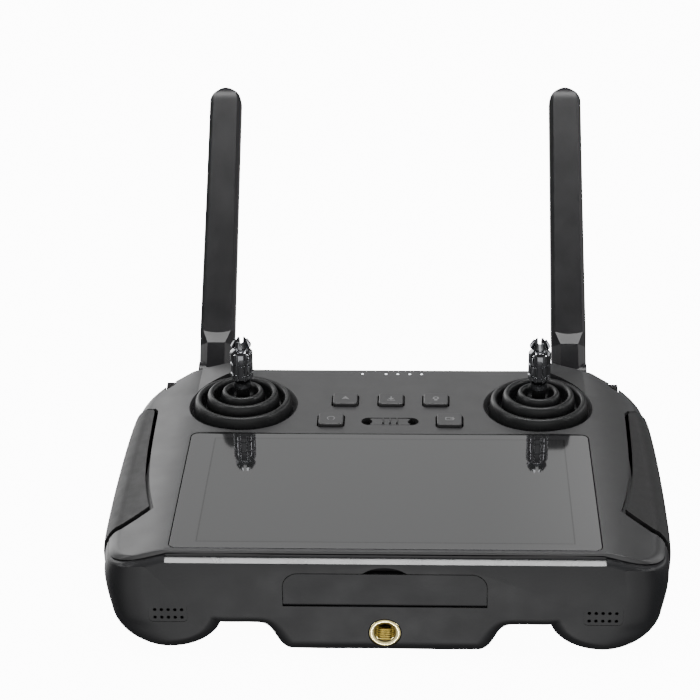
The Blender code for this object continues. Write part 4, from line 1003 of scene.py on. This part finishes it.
# Brightness, then the smooth steps it is multiplied by: direction weights, where the step starts and is full.
WORLD_LOBES = (
    (1.15, ((0, 1, 0), 0.64, 0.80), ((-1, 0, 0), -0.32, -0.14),
     ((0, 0, -1), -0.72, -0.54), ((0, 0, 1), 0.1, 0.4)),
    (0.55, ((1, 0, 0), 0.02, 0.13), ((0, 1, 0), 0.68, 0.82),
     ((-1, 0, 0), -0.32, -0.14), ((0, 0, -1), -0.6, -0.5)),
    (2.6, ((-1, 0, 0), 0.16, 0.42), ((0, 1, 0), 0.35, 0.65),
     ((0, 0, -1), -0.75, -0.55), ((0, 0, 1), -0.6, -0.3)),
    (1.0, ((0, -0.92, -0.30), 0.35, 0.95), ((0, 0, 1), -0.85, -0.6)),
    (1.6, ((1, 0, 0), 0.55, 0.75), ((0, 0, 1), -0.2, 0.1),
     ((0, 0, -1), -0.6, -0.3), ((0, 1, 0), -0.1, 0.3)),
)


def make_world():
    """Studio surroundings: a dim even light and a few bright patches with soft edges."""
    world = bpy.data.worlds.new("studio")
    bpy.context.scene.world = world
    world.use_nodes = True
    tree = world.node_tree
    links = tree.links
    where = tree.nodes.new("ShaderNodeTexCoord")
    split = tree.nodes.new("ShaderNodeSeparateXYZ")
    links.new(where.outputs["Generated"], split.inputs["Vector"])

    def combine(operation, a, b):
        node = tree.nodes.new("ShaderNodeMath")
        node.operation = operation
        for socket, value in zip(node.inputs, (a, b)):
            if isinstance(value, float):
                socket.default_value = value
            else:
                links.new(value, socket)
        return node.outputs["Value"]

    def step(weights, low, high):
        """Smooth step of a weighted sum of the direction's x, y and z."""
        total = 0.0
        for axis, weight in zip("XYZ", weights):
            total = combine("ADD", combine("MULTIPLY", split.outputs[axis], float(weight)), total)
        ease = tree.nodes.new("ShaderNodeMapRange")
        ease.interpolation_type = "SMOOTHSTEP"
        ease.inputs["From Min"].default_value, ease.inputs["From Max"].default_value = low, high
        links.new(total, ease.inputs["Value"])
        return ease.outputs["Result"]

    total = AMBIENT
    for gain, *steps in WORLD_LOBES:
        value = gain
        for weights, low, high in steps:
            value = combine("MULTIPLY", step(weights, low, high), value)
        total = combine("ADD", total, value)
    background = tree.nodes["Background"]
    background.inputs["Color"].default_value = (1.0, 1.0, 1.0, 1)
    links.new(total, background.inputs["Strength"])


def area_light(name, where, target, size, energy):
    data = bpy.data.lights.new(name, "AREA")
    data.shape, data.size, data.size_y, data.energy = "RECTANGLE", size[0], size[1], energy
    lamp = bpy.data.objects.new(name, data)
    bpy.context.scene.collection.objects.link(lamp)
    lamp.location = where
    lamp.rotation_euler = (Vector(target) - Vector(where)).to_track_quat("-Z", "Y").to_euler()
    lamp.visible_camera = False


def make_lights():
    area_light("overhead", (0.0, 0.03, 1.5), (0, 0.03, 0.03), (1.5, 0.5), 24)
    area_light("front_low", (-0.02, -0.89, -0.55), (0, -0.065, 0.009), (0.05, 0.05), 0.65)
    for side in (-1, 1):
        area_light("side_strip", (side * 1.1, -0.25, 0.55), (0, 0.03, 0.05), (0.05, 0.9), 3)


def make_camera():
    """A long lens in front of the case and above it, turned slightly about its own line of sight."""
    forward = Vector((-0.03777, 0.89344, -0.44760)).normalized()
    level = forward.cross(Vector((0, 0, 1))).normalized()
    above = level.cross(forward)
    roll = math.radians(-0.83)
    right = level * math.cos(roll) + above * math.sin(roll)
    up = above * math.cos(roll) - level * math.sin(roll)
    camera = bpy.data.cameras.new("camera")
    camera.sensor_width = 36.0
    camera.lens = 110.7257
    camera.clip_start, camera.clip_end = 0.01, 100
    view = bpy.data.objects.new("camera", camera)
    bpy.context.scene.collection.objects.link(view)
    turn = Matrix((right, up, -forward)).transposed().to_4x4()
    view.matrix_world = Matrix.Translation(mm(14.80, -653.94, 407.55)) @ turn
    bpy.context.scene.camera = view


make_camera()
make_lid()
make_tub()
make_front_pieces()
make_grips()
make_glass()
make_keys()
make_boots()
make_stick_ends()
make_antennas()
make_dials()
dress_cad_nodes()
make_stage()
make_world()
make_lights()
bpy.context.view_layer.update()
